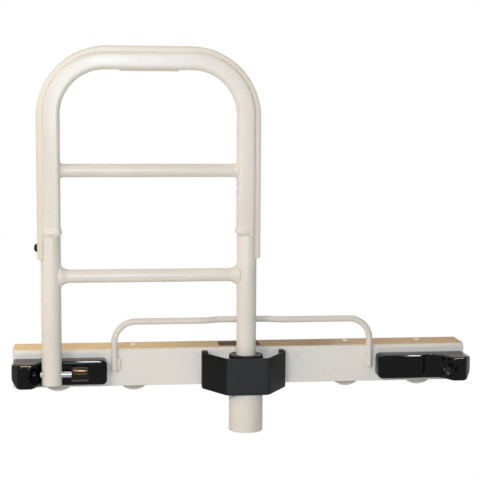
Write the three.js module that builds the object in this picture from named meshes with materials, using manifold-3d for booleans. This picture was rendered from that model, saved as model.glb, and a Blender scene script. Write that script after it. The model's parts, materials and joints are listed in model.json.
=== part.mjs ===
// Bed assist rail: a hand rail that swings half a turn about an upright post. The post stands in a
// socket on a steel channel, and the channel sits over the side rail of a bed. Millimetres, +Z up.
// X runs along the channel, Y into the bed. The origin is the middle of the channel's inner face,
// which lies against the bed. The rail is drawn over the left catch with its lock pin drawn back.
import * as THREE from 'three';
import { mergeVertices } from 'three/addons/utils/BufferGeometryUtils.js';
import Module from 'manifold-3d';

const wasm = await Module();
wasm.setup();

// Clearances and how finely round faces are cut
const touchGap = 0.3;
const runningGap = 0.6;
const cutOverrun = 2;
const tubeSides = 32;
const boltSides = 16;
const wireSides = 10;
const arcSteps = 8;
const edgeSteps = 3;
const knobSides = 24;
const domeSteps = 5;
const coilSides = 6;
const coilSteps = 9;
const casingSides = 8;
const casingSteps = 28;
const beadSides = 8;
const hexSides = 6;

// Channel
const channelLength = 674;
const channelHeight = 55.4;
const channelDepth = 57.9;
const channelWall = 3;
const channelBend = 7;
const channelLip = 19;
const windowLength = 62;
const windowShift = -2.5;
const windowFromFace = 10;
const windowFromLip = 11;

// Post and socket
const postStandoff = 38.6;
const postBottomDrop = 100;
const socketDiameter = 49.5;
const socketWall = 3;
const socketTopDrop = 9.8;
const socketBottomDrop = 114.8;
const bushCollarThickness = 6;
const upperBushLength = 30;
const lowerBushLength = 20;
const gussetThickness = 5;
const gussetHalfWidth = 22;
const upperGussetDrop = 20;
const lowerGussetDrop = 50;
const endPlugLength = 20;
const washerDiameter = 42;
const washerThickness = 3;
const retainerDiameter = 8;
const retainerLength = 16;
const retainerHeadDiameter = 13;
const retainerHeadHeight = 5;

// Button heads and turned edges, as shares of the head's or the edge's size: [radius, height]
const headShares = [[1, 0], [0.92, 0.45], [0.6, 0.88], [0, 1]];
const edgeTurnShare = 0.3;

// A sunk head's diameter as a share of its screw's diameter
const sunkHeadShare = 1.75;

// Cover round the socket
const coverHeight = 53.5;
const coverTopDrop = 5;
const coverWall = 3.5;
const coverFrontHalfWidth = 29;
const coverSideHalfWidth = 60.2;
const coverSideDepth = 14;
const coverFootWidth = 20;
const coverFootDrop = 23;
const coverBend = 5;
const coverScrewInset = 12.2;
const coverScrewDiameter = 5;

// Rail: legs, bent handle, rungs
const legSpacing = 279.4;
const legDiameter = 28.6;
const legWall = 2;
const legTopRise = 170;
const legFootDrop = 42.8;
const handleOuterOffset = 11.1;
const handleDepth = 28.6;
const handleWall = 2;
const handleTopRise = 419.3;
const handleBendRadius = 78;
const handleEdge = 5.5;
const rungDiameter = 19.05;
const upperRungRise = 263.3;
const lowerRungRise = 113.2;
const lowerFlareRadius = 15.2;
const lowerFlareLength = 12;
const upperFlareRadius = 11.5;
const upperFlareLength = 5;
const flareDepthShare = 0.8;
const flareShares = [[1, 0], [0.45, 0.25], [0.12, 0.55], [0, 1]];
const footCapThickness = 1.8;
const weldRingRadius = 1.3;
const weldRingHeight = 4;

// Edge guard round the handle
const guardOuterOffset = 18.6;
const guardBendEase = 3.5;
const guardHalfDepth = 11;
const guardWall = 1.6;
const guardFootRise = 138;
const guardEdge = 1;
const guardScrewRise = 154.3;
const guardScrewDiameter = 5;
const guardScrewHeadDiameter = 12;
const guardScrewHeadHeight = 3.2;
const guardScrewLength = 12;

// Trigger in the top bar
const triggerToBend = 20.2;
const triggerHalfDepth = 7.5;
const triggerProud = 2;
const triggerTravel = 7;
const triggerLipThickness = 2.5;
const triggerEdge = 1;
const triggerSpringShare = 0.66;
const triggerSpringDiameter = 8;
const triggerSpringWire = 1.1;
const triggerSpringTurns = 4;

// Cable from the trigger to the lock pin
const camThickness = 4;
const slideDowelDiameter = 2.8;
const slotPlay = 0.2;
const camBorder = 1.8;
const cheekGap = 0.6;
const cheekThickness = 2.5;
const slideHeight = 7;
const slideBlockLength = 6;
const slideBlockGap = 2;
const wireDiameter = 1.8;
const wirePlay = 0.4;
const casingDiameter = 3.6;
const upperWireLength = 8.2;
const cableStopThickness = 6;
const ferruleDiameter = 6;
const ferruleLength = 2.5;

// Lock pin and the rod that draws it back
const pinDrop = 28.4;
const pinDiameter = 8.5;
const pinNoseOut = 2.9;
const pinTravel = 11;
const pinTip = 1.2;
const knobDiameter = 20;
const knobLength = 24.4;
const knobStandoff = 13.4;
const knobBore = 17;
const knobEdge = 2.2;
const dowelDiameter = 3;
const forkGap = 0.55;
const forkThickness = 2.2;
const forkBorder = 2.4;
const rodDiameter = 9;
const rodShoulderRise = 20;
const rodCollarDiameter = 20;
const rodCollarThickness = 5;
const anchorRise = 70;
const anchorLength = 10;
const rodSpringDiameter = 18;
const rodSpringWire = 1.8;
const rodSpringTurns = 6;

// Moulded catches
const catchFromKeeper = 7.75;
const catchPastLeg = 57.6;
const catchTopDrop = 12;
const catchBottomDrop = 47.6;
const catchDepth = 27;
const towerDepth = 51;
const camRootPastLeg = 14.9;
const camTipPastLeg = 27.1;
const towerSlantWidth = 11;
const towerSlantDepth = 15;
const catchCorner = 6;
const catchEdge = 3;
const catchBottomCutWidth = 6;
const catchBottomCutHeight = 7.5;
const towerCrown = 14;
const dishDiameter = 22.6;
const dishDepth = 1.4;
const saddlePlay = 0.8;
const catchBoltInnerInset = 21.5;
const catchBoltOuterInset = 15;
const catchBoltDiameter = 6;
const catchBoltReach = 14;
const boltHeadDiameter = 10.5;
const boltHeadHeight = 3.2;

// Clamps under the channel
const clampEndInset = 65;
const clampPitch = 111.5;
const clampFromFace = 29;
const clampBoltDiameter = 6;
const clampBoltReach = 57.5;
const clampWasherDiameter = 28;
const clampWasherThickness = 2.5;
const clampWasherDrop = 49;
const clampKnobDiameter = 37;
const clampHubDiameter = 16;
const clampHubHeight = 4;
const clampRimHeight = 4.5;
const clampDomeHeight = 7;

// Mattress keeper
const keeperWire = 9.5;
const keeperHalfWidth = 188;
const keeperTopRise = 41;
const keeperFootDrop = 34;
const keeperCorner = 31;
const keeperJogDepth = 8;
const keeperJogStart = 62;
const keeperJogEnd = 34;
const keeperSteps = 60;
const keeperWeld = 3.4;
const keeperWeldStretchShare = 2;

// Places that follow from the sizes above
const channelTopZ = channelHeight / 2;
const faceY = -channelWall;
const postY = faceY - postStandoff;
const legRadius = legDiameter / 2;
const legBore = legRadius - legWall;
const socketRadius = socketDiameter / 2;
const socketBore = socketRadius - socketWall;
const handleCentreX = -legSpacing / 2;
const handleTopZ = channelTopZ + handleTopRise;
const legTopZ = channelTopZ + legTopRise;
const legFootZ = channelTopZ - legFootDrop;
const barFloorZ = handleTopZ - legRadius;
const pinZ = channelTopZ - pinDrop;
const pinRadius = pinDiameter / 2;
const triggerLength = legSpacing - 2 * (handleBendRadius + triggerToBend);
const catchInnerX = keeperHalfWidth + keeperWire / 2 + catchFromKeeper;
const catchOuterX = legSpacing + catchPastLeg;
const camFaceRootX = legSpacing + camRootPastLeg;
const camFaceTipX = legSpacing + camTipPastLeg;
const catchBoltInnerX = catchInnerX + catchBoltInnerInset;
const catchBoltOuterX = catchOuterX - catchBoltOuterInset;
const catchBoltZ = channelTopZ - (catchTopDrop + catchBottomDrop) / 2;
const clampOuterX = channelLength / 2 - clampEndInset;
const clampInnerX = clampOuterX - clampPitch;
const coverScrewX = coverSideHalfWidth - coverScrewInset;
const coverScrewZ = channelTopZ - (coverFootDrop + coverTopDrop + coverHeight) / 2;

// The cam plate at the trigger's end: its slot's border and half width set its size
const slotHalf = slideDowelDiameter / 2 + slotPlay;
const slideCamSize = triggerTravel + 2 * (slotHalf + camBorder);
const slideCamHigh = handleTopZ + handleOuterOffset - handleWall - touchGap;
const slideCam = {
  length: slideCamSize,
  high: slideCamHigh,
  low: slideCamHigh - slideCamSize,
  dowelX: handleCentreX - triggerLength / 2 - camBorder - slotHalf,
  dowelZ: slideCamHigh - slideCamSize + camBorder + slotHalf,
};

// A quarter circle's handles as a share of its radius
const quarterShare = 4 / 3 * Math.tan(Math.PI / 8);

const paints = {
  cream: new THREE.MeshStandardMaterial({ color: '#e2dacf', roughness: 0.35, metalness: 0 }),
  guard: new THREE.MeshStandardMaterial({ color: '#e2d8c3', roughness: 0.4, metalness: 0 }),
  blackGloss: new THREE.MeshStandardMaterial({ color: '#131416', roughness: 0.2, metalness: 0 }),
  blackMatte: new THREE.MeshStandardMaterial({ color: '#303235', roughness: 0.65, metalness: 0 }),
  nylon: new THREE.MeshStandardMaterial({ color: '#17181b', roughness: 0.5, metalness: 0 }),
  chrome: new THREE.MeshStandardMaterial({ color: '#dfe1e4', roughness: 0.12, metalness: 1 }),
  zinc: new THREE.MeshStandardMaterial({ color: '#a9abad', roughness: 0.4, metalness: 1 }),
  beige: new THREE.MeshStandardMaterial({ color: '#b9ad9b', roughness: 0.4, metalness: 0 }),
};

const rail = new THREE.Group();

// A closed solid from a three.js geometry
function solid(geometry) {
  const bare = geometry.clone();
  bare.deleteAttribute('normal');
  bare.deleteAttribute('uv');
  const merged = mergeVertices(bare);
  const index = merged.index.array;
  const triangles = [];
  for (let i = 0; i < index.length; i += 3) {
    const [a, b, c] = [index[i], index[i + 1], index[i + 2]];
    if (a !== b && b !== c && c !== a) triangles.push(a, b, c);
  }
  return new wasm.Manifold(new wasm.Mesh({
    numProp: 3,
    vertProperties: new Float32Array(merged.attributes.position.array),
    triVerts: new Uint32Array(triangles),
  }));
}

function cut(body, ...tools) {
  return tools.reduce((rest, tool) => rest.subtract(tool), body);
}

function join(body, ...others) {
  return others.reduce((whole, other) => whole.add(other), body);
}

function addPiece(name, body, paint) {
  const { vertProperties, triVerts } = body.getMesh();
  const geometry = new THREE.BufferGeometry();
  geometry.setAttribute('position', new THREE.BufferAttribute(vertProperties, 3));
  geometry.setIndex(new THREE.BufferAttribute(triVerts, 1));
  geometry.computeVertexNormals();
  const mesh = new THREE.Mesh(geometry, paint);
  mesh.name = name;
  rail.add(mesh);
}

// A box from its lowest to its highest corner
function block(low, high) {
  const size = high.map((value, i) => value - low[i]);
  const geometry = new THREE.BoxGeometry(...size);
  geometry.translate(...low.map((value, i) => value + size[i] / 2));
  return solid(geometry);
}

// A round bar along +Z from one height to another, at x and y
function post(radius, x, y, low, high, sides = tubeSides) {
  const geometry = new THREE.CylinderGeometry(radius, radius, high - low, sides);
  geometry.rotateX(Math.PI / 2);
  geometry.translate(x, y, (low + high) / 2);
  return solid(geometry);
}

// A round bar along +X at y and z
function barX(radius, low, high, y, z, sides = tubeSides) {
  const geometry = new THREE.CylinderGeometry(radius, radius, high - low, sides);
  geometry.rotateZ(Math.PI / 2);
  geometry.translate((low + high) / 2, y, z);
  return solid(geometry);
}

// A round bar along +Y at x and z
function barY(radius, low, high, x, z, sides = boltSides) {
  const geometry = new THREE.CylinderGeometry(radius, radius, high - low, sides);
  geometry.translate(x, (low + high) / 2, z);
  return solid(geometry);
}

// A turned shape about +Z: points are [radius, height]
function turned(points, sides = tubeSides) {
  const profile = points.map(([radius, height]) => new THREE.Vector2(radius, height));
  const geometry = new THREE.LatheGeometry(profile, sides);
  geometry.rotateX(Math.PI / 2);
  return geometry;
}

function extruded(shape, length, edge) {
  return new THREE.ExtrudeGeometry(shape, {
    depth: length - 2 * edge,
    bevelEnabled: edge > 0,
    bevelThickness: edge,
    bevelSize: edge,
    bevelOffset: -edge,
    bevelSegments: edgeSteps,
    curveSegments: arcSteps,
  });
}

// An outline in X and Z, given depth along Y
function plateXZ(shape, nearY, farY, edge = 0) {
  const geometry = extruded(shape, farY - nearY, edge);
  geometry.rotateX(Math.PI / 2);
  geometry.translate(0, farY - edge, 0);
  return solid(geometry);
}

// An outline in X and Y, given height along Z
function plateXY(shape, lowZ, highZ, edge = 0) {
  const geometry = extruded(shape, highZ - lowZ, edge);
  geometry.translate(0, 0, lowZ + edge);
  return solid(geometry);
}

// An outline in Y and Z, given length along X
function plateYZ(shape, leftX, rightX) {
  const geometry = extruded(shape, rightX - leftX, 0);
  geometry.applyMatrix4(new THREE.Matrix4().makeBasis(
    new THREE.Vector3(0, 1, 0), new THREE.Vector3(0, 0, 1), new THREE.Vector3(1, 0, 0),
  ));
  geometry.translate(leftX, 0, 0);
  return solid(geometry);
}

function outline(points) {
  return new THREE.Shape(points.map(([x, y]) => new THREE.Vector2(x, y)));
}

// A polyline with its inner corners turned into arcs
function roundedLine(points, radius) {
  const result = [points[0]];
  for (let i = 1; i < points.length - 1; i += 1) {
    const corner = new THREE.Vector2(...points[i]);
    const before = new THREE.Vector2(...points[i - 1]).sub(corner).normalize();
    const after = new THREE.Vector2(...points[i + 1]).sub(corner).normalize();
    const half = Math.acos(THREE.MathUtils.clamp(before.dot(after), -1, 1)) / 2;
    const reach = radius / Math.tan(half);
    const start = corner.clone().addScaledVector(before, reach);
    const end = corner.clone().addScaledVector(after, reach);
    const bend = new THREE.QuadraticBezierCurve(start, corner, end);
    bend.getPoints(arcSteps / 2).forEach((point) => result.push([point.x, point.y]));
  }
  result.push(points[points.length - 1]);
  return result;
}

// A strip of one thickness that follows a polyline, half to each side
function strip(points, thickness) {
  const at = points.map(([x, y]) => new THREE.Vector2(x, y));
  const sideways = at.map((point, i) => {
    const into = point.clone().sub(at[Math.max(i - 1, 0)]);
    const out = at[Math.min(i + 1, at.length - 1)].clone().sub(point);
    const normals = [into, out].filter((step) => step.lengthSq() > 0)
      .map((step) => step.normalize())
      .map((step) => new THREE.Vector2(-step.y, step.x));
    const mean = normals.reduce((sum, normal) => sum.add(normal), new THREE.Vector2()).normalize();
    return mean.multiplyScalar(thickness / 2 / mean.dot(normals[0].normalize()));
  });
  const left = at.map((point, i) => point.clone().add(sideways[i]));
  const right = at.map((point, i) => point.clone().sub(sideways[i])).reverse();
  return new THREE.Shape([...left, ...right]);
}

// A quarter circle from start to end, round the corner between them
function quarter(start, corner, end) {
  const first = start.clone().lerp(corner, quarterShare);
  const second = end.clone().lerp(corner, quarterShare);
  return new THREE.CubicBezierCurve3(start, first, second, end);
}

// A round wire along a curve
function wireAlong(curve, radius, steps, sides) {
  const section = new THREE.Shape();
  section.absarc(0, 0, radius, 0, 2 * Math.PI);
  const ring = new THREE.Shape(section.getSpacedPoints(sides).slice(0, sides));
  return solid(new THREE.ExtrudeGeometry(ring, { steps, extrudePath: curve, bevelEnabled: false }));
}

// A coil spring that stands along +Z, with its ends square to its seats
class Coil extends THREE.Curve {
  constructor(x, y, low, high, radius, turns) {
    super();
    Object.assign(this, { x, y, low, high, radius, turns });
  }

  getPoint(t, target = new THREE.Vector3()) {
    const angle = 2 * Math.PI * this.turns * t;
    return target.set(
      this.x + this.radius * Math.cos(angle),
      this.y + this.radius * Math.sin(angle),
      this.low + (this.high - this.low) * t,
    );
  }
}

function spring(x, y, low, high, outside, wire, turns) {
  const radius = (outside - wire) / 2;
  const coil = new Coil(x, y, low + wire / 2, high - wire / 2, radius, turns);
  return wireAlong(coil, wire / 2, turns * coilSteps, coilSides);
}

// A button-head screw that stands along +Z: its seat is at 0, and the head floats a gap above it
function screw(diameter, headDiameter, headHeight, reach) {
  const radius = diameter / 2;
  const head = headShares.map(([across, up]) => [
    headDiameter / 2 * across, touchGap + headHeight * up,
  ]);
  return turned([[0, -reach], [radius, -reach], [radius, touchGap], ...head], boltSides);
}

// A screw through the channel's web from its inner side, at x and z, its head sunk below the face
function webScrew(diameter, x, z, reach) {
  const radius = diameter / 2;
  const head = radius * sunkHeadShare;
  return inWeb([
    [0, -reach], [radius, -reach], [radius, radius - head - touchGap], [head, -touchGap], [0, -touchGap],
  ], x, z);
}

// The hole for that screw, with a cone for the head. It is cut through the web.
function webHole(diameter, x, z) {
  const radius = diameter / 2 + touchGap;
  const coneEnd = diameter / 2 - diameter / 2 * sunkHeadShare - 2 * touchGap;
  return inWeb([
    [0, -channelWall - cutOverrun], [radius, -channelWall - cutOverrun], [radius, coneEnd],
    [radius - coneEnd + cutOverrun, cutOverrun], [0, cutOverrun],
  ], x, z);
}

// A turned shape about a line along +Y at x and z: points are [radius, distance from the inner face]
function inWeb(points, x, z) {
  const geometry = turned(points, boltSides);
  geometry.rotateX(-Math.PI / 2);
  geometry.translate(x, 0, z);
  return solid(geometry);
}

// The handle's outline between an inner and an outer offset from its centreline. The outer bends'
// radius is larger by an ease, so the band between the two gets thinner there.
function handleOutline(inner, outer, footZ, ease = 0) {
  const left = -legSpacing;
  const bendZ = handleTopZ - handleBendRadius;
  const shape = new THREE.Shape();
  const bendLeftX = left + handleBendRadius;
  const bendRightX = -handleBendRadius;
  const round = handleBendRadius + outer + ease;
  shape.moveTo(left - outer, footZ);
  shape.lineTo(left - outer, bendZ - ease);
  shape.absarc(bendLeftX + ease, bendZ - ease, round, Math.PI, Math.PI / 2, true);
  shape.absarc(bendRightX - ease, bendZ - ease, round, Math.PI / 2, 0, true);
  shape.lineTo(outer, footZ);
  shape.lineTo(-inner, footZ);
  shape.lineTo(-inner, bendZ);
  shape.absarc(bendRightX, bendZ, handleBendRadius - inner, 0, Math.PI / 2, false);
  shape.absarc(bendLeftX, bendZ, handleBendRadius - inner, Math.PI / 2, Math.PI, false);
  shape.lineTo(left + inner, footZ);
  return shape;
}

// Channel: front web, bent top flange with a window, and a back lip
function buildChannel() {
  const half = channelLength / 2;
  const middle = channelWall / 2;
  const backY = faceY + channelDepth - middle;
  const section = roundedLine([
    [faceY + middle, -channelTopZ],
    [faceY + middle, channelTopZ - middle],
    [backY, channelTopZ - middle],
    [backY, channelTopZ - channelLip],
  ], channelBend - middle);
  const sheet = plateYZ(strip(section, channelWall), -half, half);
  const window = block(
    [windowShift - windowLength / 2, faceY + windowFromFace, channelTopZ - channelWall - cutOverrun],
    [windowShift + windowLength / 2, faceY + channelDepth - windowFromLip, channelTopZ + cutOverrun],
  );
  const holes = [];
  for (const side of [-1, 1]) {
    for (const x of [clampInnerX, clampOuterX]) {
      holes.push(post(clampBoltDiameter / 2 + touchGap, side * x, faceY + clampFromFace,
        channelTopZ - channelWall - cutOverrun, channelTopZ + cutOverrun, boltSides));
    }
    for (const x of [catchBoltInnerX, catchBoltOuterX]) {
      holes.push(webHole(catchBoltDiameter, side * x, catchBoltZ));
    }
    holes.push(webHole(coverScrewDiameter, side * coverScrewX, coverScrewZ));
  }
  addPiece('mount_channel', cut(sheet, window, ...holes), paints.cream);
}

// Mattress keeper: one bent wire welded to the channel's face, jogged back behind the post
function buildKeeper() {
  const radius = keeperWire / 2;
  const y = faceY - touchGap - radius;
  const topZ = channelTopZ + keeperTopRise;
  const footZ = channelTopZ - keeperFootDrop;
  const at = (x, depth, z) => new THREE.Vector3(x, depth, z);
  const path = new THREE.CurvePath();
  const corner = (side) => [
    at(side * keeperHalfWidth, y, topZ - keeperCorner),
    at(side * keeperHalfWidth, y, topZ),
    at(side * (keeperHalfWidth - keeperCorner), y, topZ),
  ];
  const jog = (side) => {
    const outer = at(side * keeperJogStart, y, topZ);
    const inner = at(side * keeperJogEnd, y + keeperJogDepth, topZ);
    const half = side * (keeperJogStart - keeperJogEnd) / 2;
    return [
      outer, at(outer.x - half, y, topZ), at(inner.x + half, inner.y, topZ), inner,
    ];
  };
  const leftCorner = corner(-1);
  const rightCorner = corner(1);
  const leftJog = jog(-1);
  const rightJog = jog(1);
  path.add(new THREE.LineCurve3(at(-keeperHalfWidth, y, footZ), leftCorner[0]));
  path.add(quarter(...leftCorner));
  path.add(new THREE.LineCurve3(leftCorner[2], leftJog[0]));
  path.add(new THREE.CubicBezierCurve3(...leftJog));
  path.add(new THREE.LineCurve3(leftJog[3], rightJog[3]));
  path.add(new THREE.CubicBezierCurve3(...rightJog.slice().reverse()));
  path.add(new THREE.LineCurve3(rightJog[0], rightCorner[2]));
  path.add(quarter(...rightCorner.slice().reverse()));
  path.add(new THREE.LineCurve3(rightCorner[0], at(keeperHalfWidth, y, footZ)));
  const beads = [-1, 1].map((side) => {
    const bead = new THREE.SphereGeometry(keeperWeld, beadSides, beadSides / 2);
    bead.scale(1, 1, keeperWeldStretchShare);
    bead.translate(side * (keeperHalfWidth - radius), faceY - touchGap - keeperWeld, footZ + keeperWire);
    return solid(bead);
  });
  const wire = wireAlong(path, radius, keeperSteps, wireSides);
  addPiece('mattress_keeper', join(wire, ...beads), paints.cream);
}

// Socket tube, the two plates that weld it to the channel, and its two bushes
function buildSocket() {
  const top = channelTopZ - socketTopDrop;
  const bottom = channelTopZ - socketBottomDrop;
  const bore = post(socketBore, 0, postY, bottom - cutOverrun, top + cutOverrun);
  addPiece('pivot_socket', cut(post(socketRadius, 0, postY, bottom, top), bore), paints.cream);
  const around = post(socketRadius + touchGap, 0, postY, bottom, top);
  const drops = { gusset_upper: upperGussetDrop, gusset_lower: lowerGussetDrop };
  for (const [name, drop] of Object.entries(drops)) {
    const plate = block(
      [-gussetHalfWidth, postY, channelTopZ - drop],
      [gussetHalfWidth, faceY - touchGap, channelTopZ - drop + gussetThickness],
    );
    addPiece(name, cut(plate, around), paints.cream);
  }
  const legWay = post(legRadius + touchGap, 0, postY, bottom - cutOverrun, channelTopZ + cutOverrun);
  const bushRadius = socketBore - touchGap;
  const collarLow = top + touchGap;
  const upper = join(
    post(bushRadius, 0, postY, collarLow - upperBushLength, collarLow + touchGap),
    post(socketRadius, 0, postY, collarLow, collarLow + bushCollarThickness),
  );
  addPiece('upper_bushing', cut(upper, legWay), paints.nylon);
  const lowerBottom = channelTopZ - postBottomDrop + touchGap;
  const lower = post(bushRadius, 0, postY, lowerBottom, lowerBottom + lowerBushLength);
  addPiece('lower_bushing', cut(lower, legWay), paints.nylon);
}

// Cover round the socket, bent from one strip, with two feet held by screws from inside the channel
function buildCover() {
  const top = channelTopZ - coverTopDrop;
  const middle = coverWall / 2;
  const footY = faceY - touchGap - middle;
  const frontY = postY - socketRadius - touchGap - middle;
  const sideY = footY - coverSideDepth;
  const half = [
    [coverSideHalfWidth - coverFootWidth, footY],
    [coverSideHalfWidth, footY],
    [coverSideHalfWidth, sideY],
    [coverFrontHalfWidth, frontY],
  ];
  const mirrored = half.map(([x, y]) => [-x, y]).reverse();
  const section = roundedLine([...half, ...mirrored], coverBend);
  const body = plateXY(strip(section, coverWall), top - coverHeight, top);
  const within = coverSideHalfWidth - middle;
  const aboveFeet = block([-within, sideY, channelTopZ - coverFootDrop],
    [within, faceY, channelTopZ + cutOverrun]);
  const tools = [-1, 1].map((side) => barY(coverScrewDiameter / 2 + touchGap,
    footY - coverWall, footY + coverWall, side * coverScrewX, coverScrewZ));
  addPiece('pivot_cover', cut(body, aboveFeet, ...tools), paints.blackMatte);
  for (const [name, side] of [['cover_screw_left', -1], ['cover_screw_right', 1]]) {
    addPiece(name, webScrew(coverScrewDiameter, side * coverScrewX, coverScrewZ,
      channelWall + touchGap + coverWall), paints.zinc);
  }
}

// One moulded catch: a block with a saddle for the leg, and a tower with a slanted face, a round
// crown and the lock hole. Side is -1 on the left and 1 on the right.
function buildCatch(name, side) {
  const backY = faceY - touchGap;
  const blockY = faceY - catchDepth;
  const towerY = faceY - towerDepth;
  const outerX = catchOuterX;
  const top = channelTopZ - catchTopDrop;
  const bottom = channelTopZ - catchBottomDrop;
  const plan = outline([
    [catchInnerX, backY], [catchInnerX, blockY], [camFaceRootX, blockY], [camFaceTipX, towerY],
    [outerX - towerSlantWidth, towerY], [outerX, towerY + towerSlantDepth], [outerX, backY],
  ].map(([x, y]) => [side * x, y]));
  const face = new THREE.Shape();
  const innerX = side * catchInnerX;
  const inwards = side * catchCorner;
  face.moveTo(innerX + inwards, bottom);
  face.quadraticCurveTo(innerX, bottom, innerX, bottom + catchCorner);
  face.lineTo(innerX, top - catchCorner);
  face.quadraticCurveTo(innerX, top, innerX + inwards, top);
  face.lineTo(side * (outerX - catchEdge), top);
  face.lineTo(side * outerX, top - catchEdge);
  face.lineTo(side * outerX, bottom + catchBottomCutHeight);
  face.lineTo(side * (outerX - catchBottomCutWidth), bottom);
  const crownY = towerY + towerCrown;
  const profile = new THREE.Shape();
  profile.moveTo(backY + cutOverrun, bottom - cutOverrun);
  profile.lineTo(backY + cutOverrun, top + cutOverrun);
  profile.lineTo(crownY, top + cutOverrun);
  profile.absarc(crownY, top - towerCrown, towerCrown, Math.PI / 2, Math.PI, false);
  profile.lineTo(towerY - cutOverrun, top - towerCrown);
  profile.lineTo(towerY - cutOverrun, bottom - cutOverrun);
  const body = plateXY(plan, bottom, top, catchEdge)
    .intersect(plateXZ(face, towerY - cutOverrun, backY + cutOverrun))
    .intersect(plateYZ(profile, -catchOuterX - cutOverrun, catchOuterX + cutOverrun));
  const saddle = post(legRadius + saddlePlay, side * legSpacing, postY,
    bottom - cutOverrun, top + cutOverrun);
  const run = new THREE.Vector2(camFaceTipX - camFaceRootX, towerY - blockY).normalize();
  const mouthX = camFaceRootX + (camFaceTipX - camFaceRootX) * (postY - blockY) / (towerY - blockY);
  const dish = new THREE.CylinderGeometry(dishDiameter / 2, dishDiameter / 2 - dishDepth,
    2 * dishDepth, tubeSides);
  dish.rotateZ(Math.PI / 2);
  dish.rotateZ(Math.atan2(run.x, -run.y));
  dish.scale(side, 1, 1);
  if (side < 0) flip(dish);
  dish.translate(side * mouthX, postY, pinZ);
  const holeEnd = legSpacing + legRadius + pinNoseOut + pinTravel + runningGap;
  const lockHole = barX(pinRadius + runningGap, Math.min(side * legSpacing, side * holeEnd),
    Math.max(side * legSpacing, side * holeEnd), postY, pinZ, boltSides);
  const boltHoles = [catchBoltInnerX, catchBoltOuterX].map((x) => barY(
    catchBoltDiameter / 2 + touchGap, faceY - catchBoltReach - runningGap, faceY + cutOverrun,
    side * x, catchBoltZ));
  addPiece(name, cut(body, saddle, solid(dish), lockHole, ...boltHoles), paints.blackGloss);
  const places = { inner: catchBoltInnerX, outer: catchBoltOuterX };
  for (const [place, x] of Object.entries(places)) {
    addPiece(`${name}_bolt_${place}`, webScrew(catchBoltDiameter, side * x, catchBoltZ,
      channelWall + catchBoltReach), paints.zinc);
  }
}

// Turn a mirrored geometry's faces the right way out again
function flip(geometry) {
  const index = geometry.index.array;
  for (let i = 0; i < index.length; i += 3) {
    [index[i], index[i + 1]] = [index[i + 1], index[i]];
  }
}

// Four clamps: a bolt through the flange, a washer and a domed hand knob that runs up the bolt
function buildClamps() {
  const y = faceY + clampFromFace;
  const places = [-clampOuterX, -clampInnerX, clampInnerX, clampOuterX];
  places.forEach((x, i) => {
    const number = i + 1;
    const boltRadius = clampBoltDiameter / 2;
    const bolt = screw(clampBoltDiameter, boltHeadDiameter, boltHeadHeight, clampBoltReach);
    bolt.translate(x, y, channelTopZ);
    addPiece(`clamp_bolt_${number}`, solid(bolt), paints.cream);
    const washerTop = channelTopZ - clampWasherDrop;
    const washerBottom = washerTop - clampWasherThickness;
    const boltWay = post(boltRadius + touchGap, x, y, washerBottom - cutOverrun,
      washerTop + cutOverrun, boltSides);
    const washer = post(clampWasherDiameter / 2, x, y, washerBottom, washerTop, knobSides);
    addPiece(`clamp_washer_${number}`, cut(washer, boltWay), paints.zinc);
    const rim = clampKnobDiameter / 2;
    const hub = clampHubDiameter / 2;
    const hubTop = washerBottom - touchGap;
    const rimTop = hubTop - clampHubHeight;
    const rimBottom = rimTop - clampRimHeight;
    const dome = [];
    for (let step = 0; step <= domeSteps; step += 1) {
      const angle = step / domeSteps * Math.PI / 2;
      dome.push([rim * Math.cos(angle), rimBottom - clampDomeHeight * Math.sin(angle)]);
    }
    dome[dome.length - 1][0] = 0;
    const bore = boltRadius + touchGap;
    const boreEnd = rimBottom - clampDomeHeight + clampRimHeight / 2;
    const knob = turned([
      [0, boreEnd], [bore, boreEnd], [bore, hubTop], [hub, hubTop], [hub, rimTop],
      [rim - clampRimHeight / 2, rimTop], [rim, rimTop - clampRimHeight / 2],
      ...dome,
    ].reverse(), knobSides);
    knob.translate(x, y, 0);
    addPiece(`clamp_knob_${number}`, solid(knob), paints.beige);
  });
}

// Bent handle: square tube with a slot in its underside for the trigger
function buildHandle() {
  const footZ = legTopZ + touchGap;
  const nearY = postY - handleDepth / 2;
  const farY = postY + handleDepth / 2;
  const lowest = footZ - handleEdge - cutOverrun;
  const body = plateXZ(handleOutline(legRadius, handleOuterOffset, lowest), nearY, farY, handleEdge);
  const hollow = plateXZ(
    handleOutline(legRadius - handleWall, handleOuterOffset - handleWall, lowest - cutOverrun),
    nearY + handleWall, farY - handleWall, handleEdge - handleWall);
  const belowFoot = block([-legSpacing - legDiameter, nearY - cutOverrun, lowest - cutOverrun],
    [legDiameter, farY + cutOverrun, footZ]);
  const slot = block(
    [handleCentreX - triggerLength / 2 - runningGap, postY - triggerHalfDepth - runningGap,
      barFloorZ - cutOverrun],
    [handleCentreX + triggerLength / 2 + runningGap, postY + triggerHalfDepth + runningGap,
      barFloorZ + handleWall + cutOverrun],
  );
  addPiece('handle_frame', cut(body, belowFoot, hollow, slot), paints.cream);
}

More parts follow.
